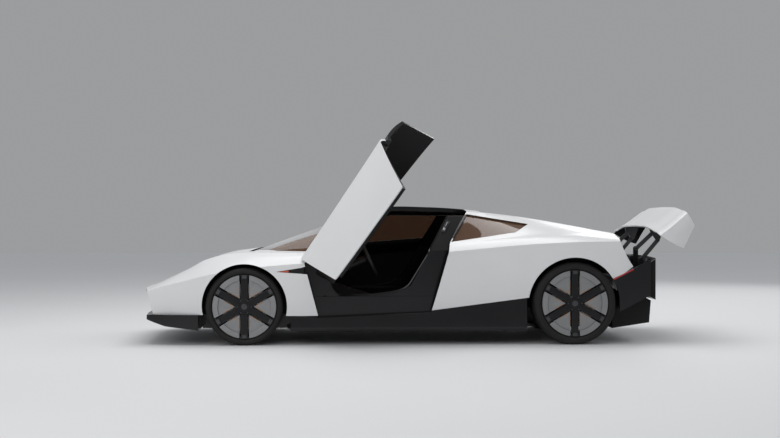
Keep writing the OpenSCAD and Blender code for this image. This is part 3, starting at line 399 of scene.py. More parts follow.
NOSE = [[0, 2147], [1, 2197], [2, 2222], [3, 2245], [4, 2250]]
DOOR_FRONT = [[0, 762], [1, 868], [2, 780], [2.7, 500], [2.9, 185], [3, 179], [4, 179]]
DOOR_REAR = [[0, -174], [1, -316], [2, -332], [3, -500], [4, -520]]
TAIL_CUT = [[0, -1884], [1, -1763], [2, -1778], [3, -1805], [4, -1808]]
TAIL_END = [[0, -2080], [1, -2086], [2, -2096], [3, -2110], [4, -2110]]
PANEL_GAP, CLAM_T, GLASS_T = 6, 14, 6
print("skin height at the roof:", float(skin(np.array([0.0]), 4)[0][2]))

# %% [markdown]
# A panel is a closed wall between two such grids. Its outside takes the paint and its inside the bare black
# moulding, so wheel wells and jambs stay dark. Its faces are wound by hand here, and one call of Blender's
# own then turns them all outwards.

# %% Walls and baking


def outwards(mesh):
    bm = bmesh.new()
    bm.from_mesh(mesh)
    bmesh.ops.recalc_face_normals(bm, faces=bm.faces)
    bm.to_mesh(mesh)
    bm.free()


def shell(name, outer, inner, materials, edge=0):
    """A closed wall: the outside has the first material, the inside the last, the edges one of them."""
    n, m = outer.shape[:2]
    off = n * m
    quads, inside = [], []
    for a in range(n - 1):
        for b in range(m - 1):
            q = [a * m + b, a * m + b + 1, (a + 1) * m + b + 1, (a + 1) * m + b]
            quads += [q, [off + i for i in reversed(q)]]
            inside += [0, max(len(materials) - 1, 0)]
    last = (n - 1) * m
    rim = [[b, off + b, off + b + 1, b + 1] for b in range(m - 1)]
    rim += [[last + b, last + b + 1, off + last + b + 1, off + last + b] for b in range(m - 1)]
    rim += [[a * m, (a + 1) * m, off + (a + 1) * m, off + a * m] for a in range(n - 1)]
    rim += [[a * m + m - 1, off + a * m + m - 1, off + (a + 1) * m + m - 1, (a + 1) * m + m - 1]
            for a in range(n - 1)]
    mesh = bpy.data.meshes.new(name)
    points = np.concatenate([outer.reshape(-1, 3), inner.reshape(-1, 3)]) * MM
    mesh.from_pydata(points.tolist(), [], quads + rim)
    for material in materials:
        mesh.materials.append(material)
    mesh.polygons.foreach_set("material_index", inside + [edge] * len(rim))
    outwards(mesh)
    return new_object(name, mesh)


def bake(obj):
    """Turns an object's modifiers into a plain mesh."""
    graph = bpy.context.evaluated_depsgraph_get()
    mesh = bpy.data.meshes.new_from_object(obj.evaluated_get(graph))
    obj.modifiers.clear()
    obj.data = mesh
    return obj


def bevelled(obj, width, angle=28, segments=2):
    bevel = obj.modifiers.new("bevel", "BEVEL")
    bevel.width = width * MM
    bevel.segments = segments
    bevel.limit_method = "ANGLE"
    bevel.angle_limit = math.radians(angle)
    bevel.miter_outer = "MITER_ARC"
    return bake(obj)


def smoothed(obj, angle=32):
    obj.data.shade_smooth()
    obj.data.set_sharp_from_angle(angle=math.radians(angle))
    return obj


print("walls are closed, bevelled and baked")

# %% [markdown]
# Openings are cut with plain prisms. Bevels round a panel's edges and creases before the openings are cut,
# because a bevel across the ragged triangles of a cut would tear. Weighted normals then keep the large flat
# faces of a bevelled piece flat in the light.

# %% Cutting, mirroring and placing


def prism(points, y0, y1, axis="Y", material=None):
    """A side-view outline between two y, or a top-view outline between two heights."""
    n = len(points)
    ends = [[(p[0], e, p[1]) if axis == "Y" else (p[0], p[1], e) for p in points] for e in (y0, y1)]
    mesh = bpy.data.meshes.new("tool")
    mesh.from_pydata([tuple(c * MM for c in p) for end in ends for p in end], [],
                     [list(range(n)), list(range(2 * n - 1, n - 1, -1))]
                     + [[i, n + i, n + (i + 1) % n, (i + 1) % n] for i in range(n)])
    if material:
        mesh.materials.append(material)
    outwards(mesh)
    return new_object("tool", mesh)


def polar(r, a):
    return (r * math.cos(a), r * math.sin(a))


def circle(r, n):
    """Points of a circle about the origin."""
    return [polar(r, 2 * math.pi * i / n) for i in range(n)]


def both(points, y0, y1):
    """A tool on the left and the same on the right."""
    return [prism(points, y0, y1), prism(points, -y1, -y0)]


def mirrored_plan(points):
    return list(points) + [(x, -y) for x, y in reversed(points) if y > 0]


def trimmed(obj, tools, operation="DIFFERENCE"):
    for tool in tools:
        for material in obj.data.materials:
            tool.data.materials.append(material)
        cut = obj.modifiers.new("trim", "BOOLEAN")
        cut.operation = operation
        cut.object = tool
        cut.solver = "MANIFOLD"
    bake(obj)
    for tool in tools:
        bpy.data.objects.remove(tool)
    return obj


def moved(obj, matrix):
    obj.data.transform(matrix)
    return obj


def mirrored(obj, name):
    """A copy on the other side, turned the right way out again."""
    mesh = obj.data.copy()
    mesh.transform(Matrix.Scale(-1, 4, (0, 1, 0)))
    mesh.flip_normals()
    return new_object(name, mesh)


def joined(name, objects):
    """One object from several, each keeping its materials."""
    with bpy.context.temp_override(active_object=objects[0], selected_editable_objects=objects):
        bpy.ops.object.join()
    objects[0].name = name
    return objects[0]


def placed(obj, slot, body, *nodes):
    """Finishes a piece: its normals are weighted, it rides on a body and hides the solids it stands for. The
    slot is not used.
    """
    even = obj.modifiers.new("even", "WEIGHTED_NORMAL")
    even.keep_sharp = True
    bake(obj)
    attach(obj, body)
    if nodes:
        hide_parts(*nodes)
    print(obj.name, len(obj.data.polygons), "faces")
    return obj


# %% [markdown]
# The front clam is nose, bonnet and fenders in one moulding. Its rear edge runs down the door's shut line
# and then under the scuttle. The arches and the wedge-shaped vents are cut through its flanks.

# %% Front clam
FRONT_AXLE, REAR_AXLE = 1380, -1380
FRONT_TYRE_R, REAR_TYRE_R = 322, 345
FRONT_ARCH_R, REAR_ARCH_R = 354, 384
ARCH_IN, BEYOND, ARCH_POINTS = 520, 1100, 128
CLAM_ROWS, CLAM_BEVEL, HINGE_ROOM = 54, 2.5, 8
CLAM_REAR = [[k, x + PANEL_GAP + (0 if k < 1 else HINGE_ROOM)] for k, x in DOOR_FRONT if k <= 2] + [
    [2.08, 880], [2.15, 1112], [2.6, 1302], [2.82, 1358], [3.07, 1452], [3.5, 1500], [4, 1510]]
FRONT_KS = fine([0, 0.25, 0.5, 0.75, 1, 1.5, 2, 2.08, 2.15, 2.4, 2.6, 2.82, 3.07, 3.5, 4], 3)
VENT = [[1122, 612], [840, 590], [840, 668], [905, 646]]
VENT_SPAN = (700, 1000)


def arch_tools(x, z, r):
    return both([(x + a, z + b) for a, b in circle(r, ARCH_POINTS)], ARCH_IN, BEYOND)


def clam(name, ks, rows, front, rear, edge=1):
    outer, inner = (full_width(wall_grid(ks, rows, front, rear, depth)) for depth in (0, CLAM_T))
    return bevelled(shell(name, outer, inner, [PAINT, TRIM], edge), CLAM_BEVEL)


front_clam = clam("front_clam_panel", FRONT_KS, CLAM_ROWS, line(NOSE), line(CLAM_REAR))
trimmed(front_clam, arch_tools(FRONT_AXLE, FRONT_TYRE_R, FRONT_ARCH_R) + both(VENT, *VENT_SPAN))
placed(smoothed(front_clam), "body_white", "root", "front_clam")

# %% [markdown]
# The rear clam carries the flanks, the buttresses beside the quarter glass and the rear deck. Its lower edge
# sweeps up ahead of the wheel, and its tail end stops at the lamp strip. The narrow strip ahead of the
# quarter glass is black, so that glass and door window read as one band.

# %% Rear clam
REAR_KS = fine([0, 0.25, 0.5, 0.75, 1, 1.5, 2, 2.33, 2.67, 3, 3.5, 4], 3)
QUARTER_REAR = [[-505, 1092], [-1031, 1008], [-905, 938], [-352, 858]]
DECK = [[-640, 455], [-1700, 300]]
LAMP_LINE = [[-1690, 535], [-1956, 662], [-2140, 726]]
LAMP_H, SEAT, STRIP_FOOT = 6, 0.3, 12
QUARTER_SPAN, DECK_SPAN = (300, 900), (850, 1300)
FLANK_X, FLANK_Z, FLANK_RISE, FLANK_END = -174, 285, 0.13, -1200


def flank_z(x):
    """Height of the lower edge ahead of the wheel."""
    return FLANK_Z - FLANK_RISE * (x - FLANK_X)


rear_clam = clam("rear_clam_panel", REAR_KS, CLAM_ROWS, line(DOOR_REAR, -PANEL_GAP), line(TAIL_CUT))
under_lamp = [[x, z + LAMP_H + SEAT] for x, z in LAMP_LINE] + [[-2140, 300], [-1690, 300]]
under_flank = [[0, flank_z(0)], [FLANK_END, flank_z(FLANK_END)], [FLANK_END, 0], [0, 0]]
trimmed(rear_clam, arch_tools(REAR_AXLE, REAR_TYRE_R, REAR_ARCH_R) + both(QUARTER_REAR, *QUARTER_SPAN) + [
    prism(mirrored_plan(DECK), *DECK_SPAN, "Z"), prism(under_flank, -BEYOND, BEYOND),
    prism(under_lamp, -BEYOND, BEYOND)])
rear_clam.data.materials.append(BLACK)
(x0, z0), (x1, z1) = QUARTER_REAR[3], QUARTER_REAR[0]
for face in rear_clam.data.polygons:
    x, _, z = face.center / MM
    if z0 - STRIP_FOOT < z < z1 and x > x0 + (x1 - x0) * (z - z0) / (z1 - z0) - 1:
        face.material_index = 2
placed(smoothed(rear_clam), "body_white", "root", "rear_clam")

# %% [markdown]
# Each door has a painted outer skin up to the belt, and above it a black frame that carries the side glass
# and a flap of the roof. The left door is made closed and copied to the right, and then it is turned about
# its slanted hinge, because the car is shown with this door up.

# %% Doors
HINGE = Vector((819, 800, 743)) * MM
HINGE_AXIS = Vector((0.58, 0.661, -0.476)).normalized()
DOOR_SWING = 67.8
DOOR_OPEN = (Matrix.Translation(HINGE) @ Matrix.Rotation(math.radians(DOOR_SWING), 4, HINGE_AXIS)
             @ Matrix.Translation(-HINGE))
ARM_END, ARM_AT, ARM_R, EYE_SPAN, EYE_R = (690, 790, 742), -83, 13, (-104, -62), 18
SKIN_KS = fine([0, 0.33, 0.67, 1, 1.5, 2], 4)
DOOR_KS = fine([0, 0.33, 0.67, 1, 1.5, 2, 2.2, 2.45, 2.7, 2.9, 3, 3.37, 3.74], 2)
GLASS_KS = fine([2, 2.2, 2.45, 2.7, 2.9, 3], 3)
DOOR_ROWS, SKIN_BEVEL, FLAP_BEVEL, FRAME_PLAY = 40, 9, 26, 4.5
WINDOW = [[672, 804], [478, 945], [180, 1068], [110, 1086], [-438, 1082], [-300, 878]]
FRAME_FRONT_CUT = [[717, 200], [800, 672], [722, 752], [745, 790], [1000, 790], [1000, 200]]
FRAME_REAR_CUT = [[-144, 200], [-286, 776], [-302, 846], [-450, 850], [-450, 200]]
FRAME_T, DOOR_T, GLASS_SHRINK = 30, 58, 0.0016
FRAME_SPAN, GLASS_SPAN = (600, BEYOND), (300, 1000)


def rod(name, a, b, r, material, n=24):
    """A closed cylinder between two points in millimetres."""
    bm = bmesh.new()
    a, b = Vector(a) * MM, Vector(b) * MM
    turn = (b - a).to_track_quat("Z", "Y").to_matrix().to_4x4()
    bmesh.ops.create_cone(bm, cap_ends=True, segments=n, radius1=r * MM, radius2=r * MM,
                          depth=(b - a).length, matrix=Matrix.Translation((a + b) / 2) @ turn)
    mesh = bpy.data.meshes.new(name)
    bm.to_mesh(mesh)
    bm.free()
    mesh.materials.append(material)
    return new_object(name, mesh)


def hinge_point(s):
    return (HINGE + HINGE_AXIS * s * MM) / MM


def door_grid(ks, dx, depth, front=DOOR_FRONT):
    """Points of the door between its shut lines, drawn in by dx at both ends."""
    return wall_grid(ks, DOOR_ROWS, line(front, -dx), line(DOOR_REAR, dx), depth)


door_skin = smoothed(bevelled(shell("door_skin_panel_left", door_grid(SKIN_KS, 0, 0),
                                    door_grid(SKIN_KS, SKIN_BEVEL, CLAM_T), [PAINT, TRIM]), 2.0))

above = DOOR_KS > 2.1
flap = [[k, x - (FLAP_BEVEL if k >= 2.9 else 0)] for k, x in DOOR_FRONT]
door_frame = bevelled(shell(
    "door_frame_panel_left", door_grid(DOOR_KS, FRAME_PLAY, np.where(above, 0, CLAM_T + SEAT)),
    door_grid(DOOR_KS, FRAME_PLAY, np.where(above, FRAME_T, DOOR_T), flap), [BLACK, TRIM]), 1.5, 40)
trimmed(door_frame, [prism(WINDOW, *GLASS_SPAN), prism(FRAME_FRONT_CUT, *FRAME_SPAN),
                     prism(FRAME_REAR_CUT, *FRAME_SPAN)])
arm = rod("arm", hinge_point(ARM_AT), ARM_END, ARM_R, BLACK)
eye = rod("eye", *(hinge_point(s) for s in EYE_SPAN), EYE_R, BLACK)
door_frame = smoothed(joined("door_frame_panel_left", [door_frame, arm, eye]))

pane = np.array(WINDOW, float)
middle = (pane.max(0) + pane.min(0)) / 2
door_glass = shell("door_glass_pane_left", door_grid(GLASS_KS, 0, GLASS_T),
                   door_grid(GLASS_KS, 0, 2 * GLASS_T), [GLASS])
trimmed(door_glass, [prism((pane + (middle - pane) * GLASS_SHRINK).tolist(), *GLASS_SPAN)], "INTERSECT")
smoothed(door_glass)

for part, slot in ((door_skin, "body_white"), (door_frame, "gloss_black"), (door_glass, "tinted_glass")):
    other = mirrored(part, part.name.replace("left", "right"))
    moved(part, DOOR_OPEN)
    for piece, body in ((part, "door_left"), (other, "door_right")):
        placed(piece, slot, body, piece.name.replace("_panel", "").replace("_pane", ""))

# %% [markdown]
# The screen leans from the scuttle to the roof in one curve with the bonnet. Its frame is a white band of
# even width, made as the whole curved slab with the glass's outline cut out of it.

# %% Windscreen
FOOT_X, FOOT_Y, FOOT_Z, FOOT_BACK, FOOT_RISE = 1490, 757, 712, 170, 60
HEADER_X, HEADER_Y, HEADER_Z, HEADER_DROP, SCREEN_BOW = 185, 574, 1158, 14, 72
PILLAR_T, PLAY, FRAME_END = 40, 0.02, 1.02
GLASS_U, GLASS_T0, GLASS_T1, GLASS_EDGE = 0.93, 0.03, 0.955, 0.0006
COWL = [[1500, 0], [1490, 250], [1440, 500], [1345, 674], [1290, 729], [1100, 778], [860, 799], [0, 799],
        [0, 0]]


def screen(t, u):
    """A point of the screen: t climbs from its foot to the header, and u runs across it."""
    low = np.stack([FOOT_X - FOOT_BACK * u * u, FOOT_Y * u, FOOT_Z + FOOT_RISE * u * u], -1)
    high = np.stack([np.full_like(u, HEADER_X), HEADER_Y * u, HEADER_Z - HEADER_DROP * u * u], -1)
    return low + (high - low) * t + np.array([0, 0, SCREEN_BOW * t * (1 - t)])


def screen_grid(t0, t1, w, depth, rows=40, cols=48):
    u = np.linspace(w, -w, cols + 1)
    grid = []
    for t in np.linspace(t0, t1, rows + 1):
        out = np.cross(screen(t + PLAY, u) - screen(t - PLAY, u), screen(t, u - PLAY) - screen(t, u + PLAY))
        grid.append(screen(t, u) - depth * out / np.linalg.norm(out, axis=-1, keepdims=True))
    return np.stack(grid)


def screen_shell(name, area, depths, materials):
    return shell(name, *(screen_grid(*area, depth) for depth in depths), materials)


def within_cowl(play):
    return prism(mirrored_plan([[x - play, max(y - play, 0)] for x, y in COWL]), 500, 1500, "Z")


def slab(x0, x1):
    """A tool that takes the whole cabin between two places along the car."""
    return prism([[x0, 600], [x1, 600], [x1, 1500], [x0, 1500]], -1000, 1000)


opening = screen_shell("tool", (GLASS_T0, GLASS_T1, GLASS_U), (-50, 90), [])
screen_frame = screen_shell("screen_frame_panel", (0, FRAME_END, 1), (0, PILLAR_T), [PAINT, TRIM])
trimmed(screen_frame, [opening, slab(-1000, HEADER_X)])
trimmed(screen_frame, [within_cowl(4)], "INTERSECT")
placed(smoothed(screen_frame), "body_white", "root", "screen_frame")

area = (GLASS_T0 + GLASS_EDGE, GLASS_T1 - GLASS_EDGE, GLASS_U - GLASS_EDGE)
windscreen = bevelled(screen_shell("windscreen_pane", area, (GLASS_T, 2 * GLASS_T), [GLASS]), 1.0)
placed(smoothed(windscreen), "tinted_glass", "root", "windscreen")

# %% [markdown]
# The fixed side panes lie just under the clams, as bonded glass does, so each is a thin layer of the skin
# cut to its outline. The roof between the doors is one black spine of the same skin.

# %% Quarter glass and roof spine
QUARTER_FRONT = [[1225, 750], [850, 750], [792, 832], [735, 832], [510, 985], [510, 1010], [755, 932],
                 [1000, 856], [1225, 775]]
QUARTER_BACK = [[-498, 1104], [-1058, 1016], [-915, 925], [-340, 846]]
FRONT_SEAT, PANE_ROWS = 1.9, 48
SPINE_KS, SPINE_T = fine([3.75, 3.875, 4], 4), 40


def fixed_pane(name, ks, front, rear, seat, outline, fence):
    grids = [wall_grid(fine(ks, 3), PANE_ROWS, front, rear, CLAM_T + seat + d) for d in (0, GLASS_T)]
    glass = shell(name, *grids, [GLASS])
    return smoothed(trimmed(glass, [prism(outline, *GLASS_SPAN)] + fence, "INTERSECT"))


for name, ks, front, rear, seat, outline in (
        ("front_quarter_glass", [1.5, 2, 2.25, 2.5, 2.75, 3], line([[1, 1300], [4, 1300]]),
         line(DOOR_FRONT, PANEL_GAP), FRONT_SEAT, QUARTER_FRONT),
        ("rear_quarter_glass", [2, 2.33, 2.67, 3], line(DOOR_REAR, -PANEL_GAP), line(TAIL_CUT), SEAT,
         QUARTER_BACK)):
    fence = [within_cowl(FRONT_SEAT)] if name.startswith("front") else []
    left = fixed_pane(name + "_pane", ks, front, rear, seat, outline, fence)
    right = mirrored(left, "other_side")
    placed(joined(name + "_pane", [left, right]), "tinted_glass", "root", name)

spine_ends = [line([[3, HEADER_X + 50], [4, HEADER_X + 50]]), line(DOOR_REAR, SEAT - PANEL_GAP)]
spine_grids = [full_width(wall_grid(SPINE_KS, DOOR_ROWS, *spine_ends, depth)) for depth in (0, SPINE_T)]
roof_spine = shell("roof_spine_panel", *spine_grids, [BLACK, TRIM])
trimmed(roof_spine, [slab(HEADER_X - SEAT, HEADER_X + 150)])
placed(smoothed(bevelled(roof_spine, 2.0, 40)), "gloss_black", "root", "roof_spine")

# %% [markdown]
# The tail is the last piece of the skin, raised by a turn about a far centre. It is made in its lowered
# place, like the doors, and then turned.

# %% Tail
TURN = Vector((-1853, 0, 1429)) * MM
TAIL_TILT, TAIL_ROWS = 34, 20
TAIL_RAISED = (Matrix.Translation(TURN) @ Matrix.Rotation(math.radians(TAIL_TILT), 4, "Y")
               @ Matrix.Translation(-TURN))
TAIL_KS = fine([0, 0.5, 1, 1.5, 2, 2.5, 3, 3.5, 4], 4)
tail = clam("tail_skin", TAIL_KS, TAIL_ROWS, line(TAIL_CUT, -PANEL_GAP), line(TAIL_END), 0)
placed(smoothed(moved(tail, TAIL_RAISED)), "body_white", "tail", "tail")

# %% [markdown]
# Behind each door opening the jamb runs on up to the roof as a black pillar trim. It is a plain panel that
# leans in with the side glass, far enough inboard to leave room for the closed door's frame.

# %% Pillar trim
PILLAR_FOOT, PILLAR_TOP = (-168, 748, 780), (-341, 554, 1080)
PILLAR_REAR = [(-331, 780), (-345, 850), (-510, 1102)]
PILLAR_TRIM_T = 12
climb = np.linspace(0, 1, 25)[:, None]
across_it = np.linspace(0, 1, 9)[None, :]
height = PILLAR_FOOT[2] + (PILLAR_TOP[2] - PILLAR_FOOT[2]) * climb
front_edge = PILLAR_FOOT[0] + (PILLAR_TOP[0] - PILLAR_FOOT[0]) * climb
rear_edge = np.interp(height, [z for _, z in PILLAR_REAR], [x for x, _ in PILLAR_REAR])
panel = np.stack(np.broadcast_arrays(front_edge + (rear_edge - front_edge) * across_it,
                                     PILLAR_FOOT[1] + (PILLAR_TOP[1] - PILLAR_FOOT[1]) * climb, height), -1)


def placed_pair(left, slot):
    """A fixed piece of trim that ends in left, and its mirror image."""
    right = mirrored(left, left.name.replace("left", "right"))
    for piece in (left, right):
        placed(smoothed(piece), slot, "root")


pillar_back = panel - np.array([0, PILLAR_TRIM_T, 0])
placed_pair(bevelled(shell("pillar_trim_left", panel, pillar_back, [TRIM]), 4), "gloss_black")

# %% [markdown]
# Each wheel well is closed on its inner side, as a moulded liner is: a half disc with a rim that runs on to
# the liner's band. The suspension arms pass through it.

# %% Wheel-well walls
WELL_WALL_T, WELL_RIM_T, ARC_STEPS = 4, 6, 40
FRONT_WELL = (FRONT_AXLE, FRONT_TYRE_R, FRONT_ARCH_R + 22, 484, 530, FRONT_TYRE_R - 90, -3000)
REAR_WELL = (REAR_AXLE, REAR_TYRE_R, REAR_ARCH_R + 2, 530, 540, REAR_TYRE_R - 60, -1684)


def arc(x, z, r, low):
    """Points of a circle above a height, from front to back."""
    start = math.asin((low - z) / r)
    turns = [start + (math.pi - 2 * start) * i / ARC_STEPS for i in range(ARC_STEPS + 1)]
    return [(x + r * math.cos(a), z + r * math.sin(a)) for a in turns]


def well_wall(name, x, z, r, y0, y1, low, back):
    """A half disc at y0 with a rim out to y1, cut off below a height and behind a place along the car."""
    disc = [(max(px, back), pz) for px, pz in arc(x, z, r, low)]
    ring = arc(x, z, r + WELL_RIM_T, low) + arc(x, z, r, low)[::-1]
    ring = [(max(px, back), pz) for px, pz in ring]
    pieces = ((disc, y0 + WELL_WALL_T), (ring, y1))
    return joined(name, [prism(points, y0, end, material=TRIM) for points, end in pieces])


placed_pair(well_wall("well_wall_front_left", *FRONT_WELL), "trim_black")
placed_pair(well_wall("well_wall_rear_left", *REAR_WELL), "trim_black")

# %% [markdown]
# The prismatic pieces keep the solids' own form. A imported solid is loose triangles, so a copy is merged, its
# flat faces are joined again, and a narrow bevel gives every edge the highlight that a real one has.

# %% Trim from the solids
MERGE, FLAT_ANGLE = 2e-5, 0.6
SIDE_LAMP_END, REAR_LAMP_START = -1950, -2080
CALIPER_X = FRONT_AXLE - 119


def dressed(node, slot, materials, bevel=1.5, choose=None):
    """A piece in a solid's own form. Where materials differ, choose gives each face the number of one."""
    mesh = NODES[node].data.copy()
    mesh.materials.clear()
    bm = bmesh.new()
    bm.from_mesh(mesh)
    bmesh.ops.remove_doubles(bm, verts=bm.verts, dist=MERGE)
    bmesh.ops.dissolve_limit(bm, angle_limit=math.radians(FLAT_ANGLE), verts=bm.verts, edges=bm.edges)
    bm.to_mesh(mesh)
    bm.free()
    obj = new_object(node + "_trim", mesh)
    for material in materials:
        mesh.materials.append(material)
    for face in mesh.polygons:
        face.material_index = choose(face.center / MM, face.normal) if choose else 0
    bevelled(obj, bevel, 35)
    return placed(smoothed(obj, 40), slot, BODY_OF[node], node)


def lamp_face(c, n):
    """The lens is lit on the sides and across the back, and smoked at the corners, above and inside."""
    outward = n.x < -0.6 or n.y * c.y > 0.6 * abs(c.y)
    return int(not (outward and (c.x > SIDE_LAMP_END or c.x < REAR_LAMP_START)))


for node, slot, material, bevel in (
        ("nose_panel", "gloss_black", BLACK, 1.5), ("splitter", "gloss_black", BLACK, 4),
        ("fender_vents", "trim_black", TRIM, 0.8), ("side_markers", "lamp_amber", LAMP_AMBER, 0.6),
        ("head_lamps", "lamp_white", LAMP_WHITE, 0.6), ("side_skirts", "gloss_black", BLACK, 4),
        ("exhaust", "chrome_tip", STEEL, 1.5), ("diffuser", "trim_black", TRIM, 2),
        ("tail_deck", "trim_black", TRIM, 1.5), ("cabin_tub", "gloss_black", BLACK, 3),
        ("wheel_liners", "trim_black", TRIM, 0.5),
        ("engine_block", "engine_grey", CAST, 6), ("front_suspension", "bare_metal", CAST, 2),
        ("rear_suspension", "bare_metal", CAST, 2), ("tail_panel", "gloss_black", BLACK, 1),
        ("tail_brackets", "link_steel", LINK, 1.5), ("front_links", "link_steel", LINK, 1.5),
        ("rear_links", "link_steel", LINK, 1.5)):
    dressed(node, slot, [material], bevel)
for side in ("left", "right"):
    dressed("knuckle_" + side, "bare_metal", [CAST, COPPER], 2, lambda c, n: int(c.x < CALIPER_X))
dressed("rear_bumper", "gloss_black", [BLACK, MESH], 2, lambda c, n: int(n.x < -0.5))
dressed("tail_lamps", "lamp_red", [LAMP_RED, BLACK], 0.8, lamp_face)

# %% [markdown]
# The engine cover is a row of slanted blades between two rails, each a little narrower than the last. A
# Geometry Nodes tree sets the blades on a line and takes their width from their place in the row. The
# helpers below build such a tree, end it with real geometry and a material, and bake what it makes.

# %% Helpers for Geometry Nodes


def node_tree(name, inputs):
    tree = bpy.data.node_groups.new(name, "GeometryNodeTree")
    tree.interface.new_socket("Geometry", in_out="INPUT", socket_type="NodeSocketGeometry")
    tree.interface.new_socket("Geometry", in_out="OUTPUT", socket_type="NodeSocketGeometry")
    for label, kind, value in inputs + [("Material", "Material", None)]:
        socket = tree.interface.new_socket(label, in_out="INPUT", socket_type="NodeSocket" + kind)
        if value is not None:
            socket.default_value = value
    return tree, add(tree, "NodeGroupInput").outputs


def last_nodes(tree, given, geometry):
    realize = add(tree, "GeometryNodeRealizeInstances")
    coat = add(tree, "GeometryNodeSetMaterial")
    wire(tree, (geometry, realize.inputs[0]), (realize.outputs[0], coat.inputs["Geometry"]),
         (given["Material"], coat.inputs["Material"]),
         (coat.outputs[0], add(tree, "NodeGroupOutput").inputs[0]))
    return tree


def made_by(tree, name, mesh=None, **values):
    obj = new_object(name, mesh or bpy.data.meshes.new(name))
    maker = obj.modifiers.new("maker", "NODES")
    maker.node_group = tree
    for item in tree.interface.items_tree:
        key = item.name.replace(" ", "_")
        if item.in_out == "INPUT" and key in values:
            maker[item.identifier] = values[key]
    bake(obj)
    print(name, "from nodes:", len(obj.data.polygons), "faces")
    return obj


def louvre_tree():
    tree, given = node_tree("louvre_row", [
        ("Count", "Int", 12), ("Start", "Vector", (0, 0, 0)), ("Step", "Vector", (0, 0, 0)),
        ("Blade", "Vector", (0.1, 1, 0.01)), ("Slant", "Float", 0.2), ("First Width", "Float", 0.8),
        ("Last Width", "Float", 0.6)])
    row, blade = add(tree, "GeometryNodeMeshLine"), add(tree, "GeometryNodeMeshCube")
    index, share = add(tree, "GeometryNodeInputIndex"), add(tree, "ShaderNodeMapRange")
    scale, turn = add(tree, "ShaderNodeCombineXYZ", X=1, Z=1), add(tree, "ShaderNodeCombineXYZ")
    put, less = add(tree, "GeometryNodeInstanceOnPoints"), add(tree, "ShaderNodeMath", "SUBTRACT")
    less.inputs[1].default_value = 1
    wire(tree, (given["Count"], row.inputs["Count"]), (given["Start"], row.inputs["Start Location"]),
         (given["Step"], row.inputs["Offset"]), (given["Blade"], blade.inputs["Size"]),
         (index.outputs[0], share.inputs["Value"]), (given["Count"], less.inputs[0]),
         (less.outputs[0], share.inputs["From Max"]), (given["First Width"], share.inputs["To Min"]),
         (given["Last Width"], share.inputs["To Max"]), (share.outputs[0], scale.inputs["Y"]),
         (given["Slant"], turn.inputs["Y"]), (row.outputs[0], put.inputs["Points"]),
         (blade.outputs["Mesh"], put.inputs["Instance"]), (turn.outputs[0], put.inputs["Rotation"]),
         (scale.outputs[0], put.inputs["Scale"]))
    return last_nodes(tree, given, put.outputs[0])


LOUVRES = louvre_tree()
print("tree for the blades:", LOUVRES.name)

# %% [markdown]
# The blades hang between two tapering rails and two cross bars, a little below the deck. Each rail is a
# prism in the top view, cut to the deck's slope.

# %% Engine cover
LOUVRE_N, FIRST_X, FINAL_X = 12, -680, -1660
BLADE_L, BLADE_T, BLADE_RISE, BLADE_DROP, BLADE_ROOM = 96, 9, 22, 20, 28
COVER_DROP, RAIL_H, RAIL_PLAY, BAR_IN, BAR_HALF = 12, 40, 1, 15, 14
RAIL_W = (30, 28)
(DECK_X0, DECK_Y0), (DECK_X1, DECK_Y1) = DECK
DECK_Z0, DECK_Z1 = 1118, 948


def deck_share(x):
    return (DECK_X0 - x) / (DECK_X0 - DECK_X1)


def deck_z(x):
    return DECK_Z0 + (DECK_Z1 - DECK_Z0) * deck_share(x) - COVER_DROP


def deck_half(x):
    return DECK_Y0 + (DECK_Y1 - DECK_Y0) * deck_share(x)


step = (FINAL_X - FIRST_X) / (LOUVRE_N - 1)
louvres = made_by(LOUVRES, "engine_louvres", Count=LOUVRE_N,
                  Start=(FIRST_X * MM, 0, (deck_z(FIRST_X) - BLADE_DROP) * MM),
                  Step=(step * MM, 0, (deck_z(FIRST_X + step) - deck_z(FIRST_X)) * MM),
                  Blade=(BLADE_L * MM, 1, BLADE_T * MM), Slant=math.atan2(BLADE_RISE, BLADE_L),
                  First_Width=2 * (deck_half(FIRST_X) - BLADE_ROOM) * MM,
                  Last_Width=2 * (deck_half(FINAL_X) - BLADE_ROOM) * MM, Material=BLACK)
plans = []
ends = [(DECK_X0 - RAIL_PLAY, DECK_Y0 - RAIL_PLAY, RAIL_W[0]),
        (DECK_X1 + RAIL_PLAY, DECK_Y1 - RAIL_PLAY, RAIL_W[1])]
for sign in (1, -1):
    plans.append([[x, sign * y] for x, y, _ in ends] + [[x, sign * (y - w)] for x, y, w in reversed(ends)])
for x in (DECK_X0 - BAR_IN, DECK_X1 + BAR_IN):
    half = deck_half(x) - RAIL_PLAY
    plans.append([[x + a * BAR_HALF, b * half] for a, b in ((-1, -1), (1, -1), (1, 1), (-1, 1))])
rails = [prism(plan, 800, 1300, "Z", BLACK) for plan in plans]
slope = [[x, deck_z(x) - drop] for x, drop in ((-600, 0), (-1740, 0), (-1740, RAIL_H), (-600, RAIL_H))]
for rail in rails:
    trimmed(rail, [prism(slope, -600, 600)], "INTERSECT")
cover = joined("engine_cover_trim", rails + [louvres])
placed(smoothed(bevelled(cover, 1.5)), "gloss_black", "root", "engine_cover")

# %% [markdown]
# A wheel is made flat with its outer face up, then stood up. Round pieces are profiles of radius and height,
# turned about the axis: the low tyre with its grooves, the deep barrel, the hub and the brake disc. Most of
# their heights are written as depths below the wheel's face, as on a drawing.

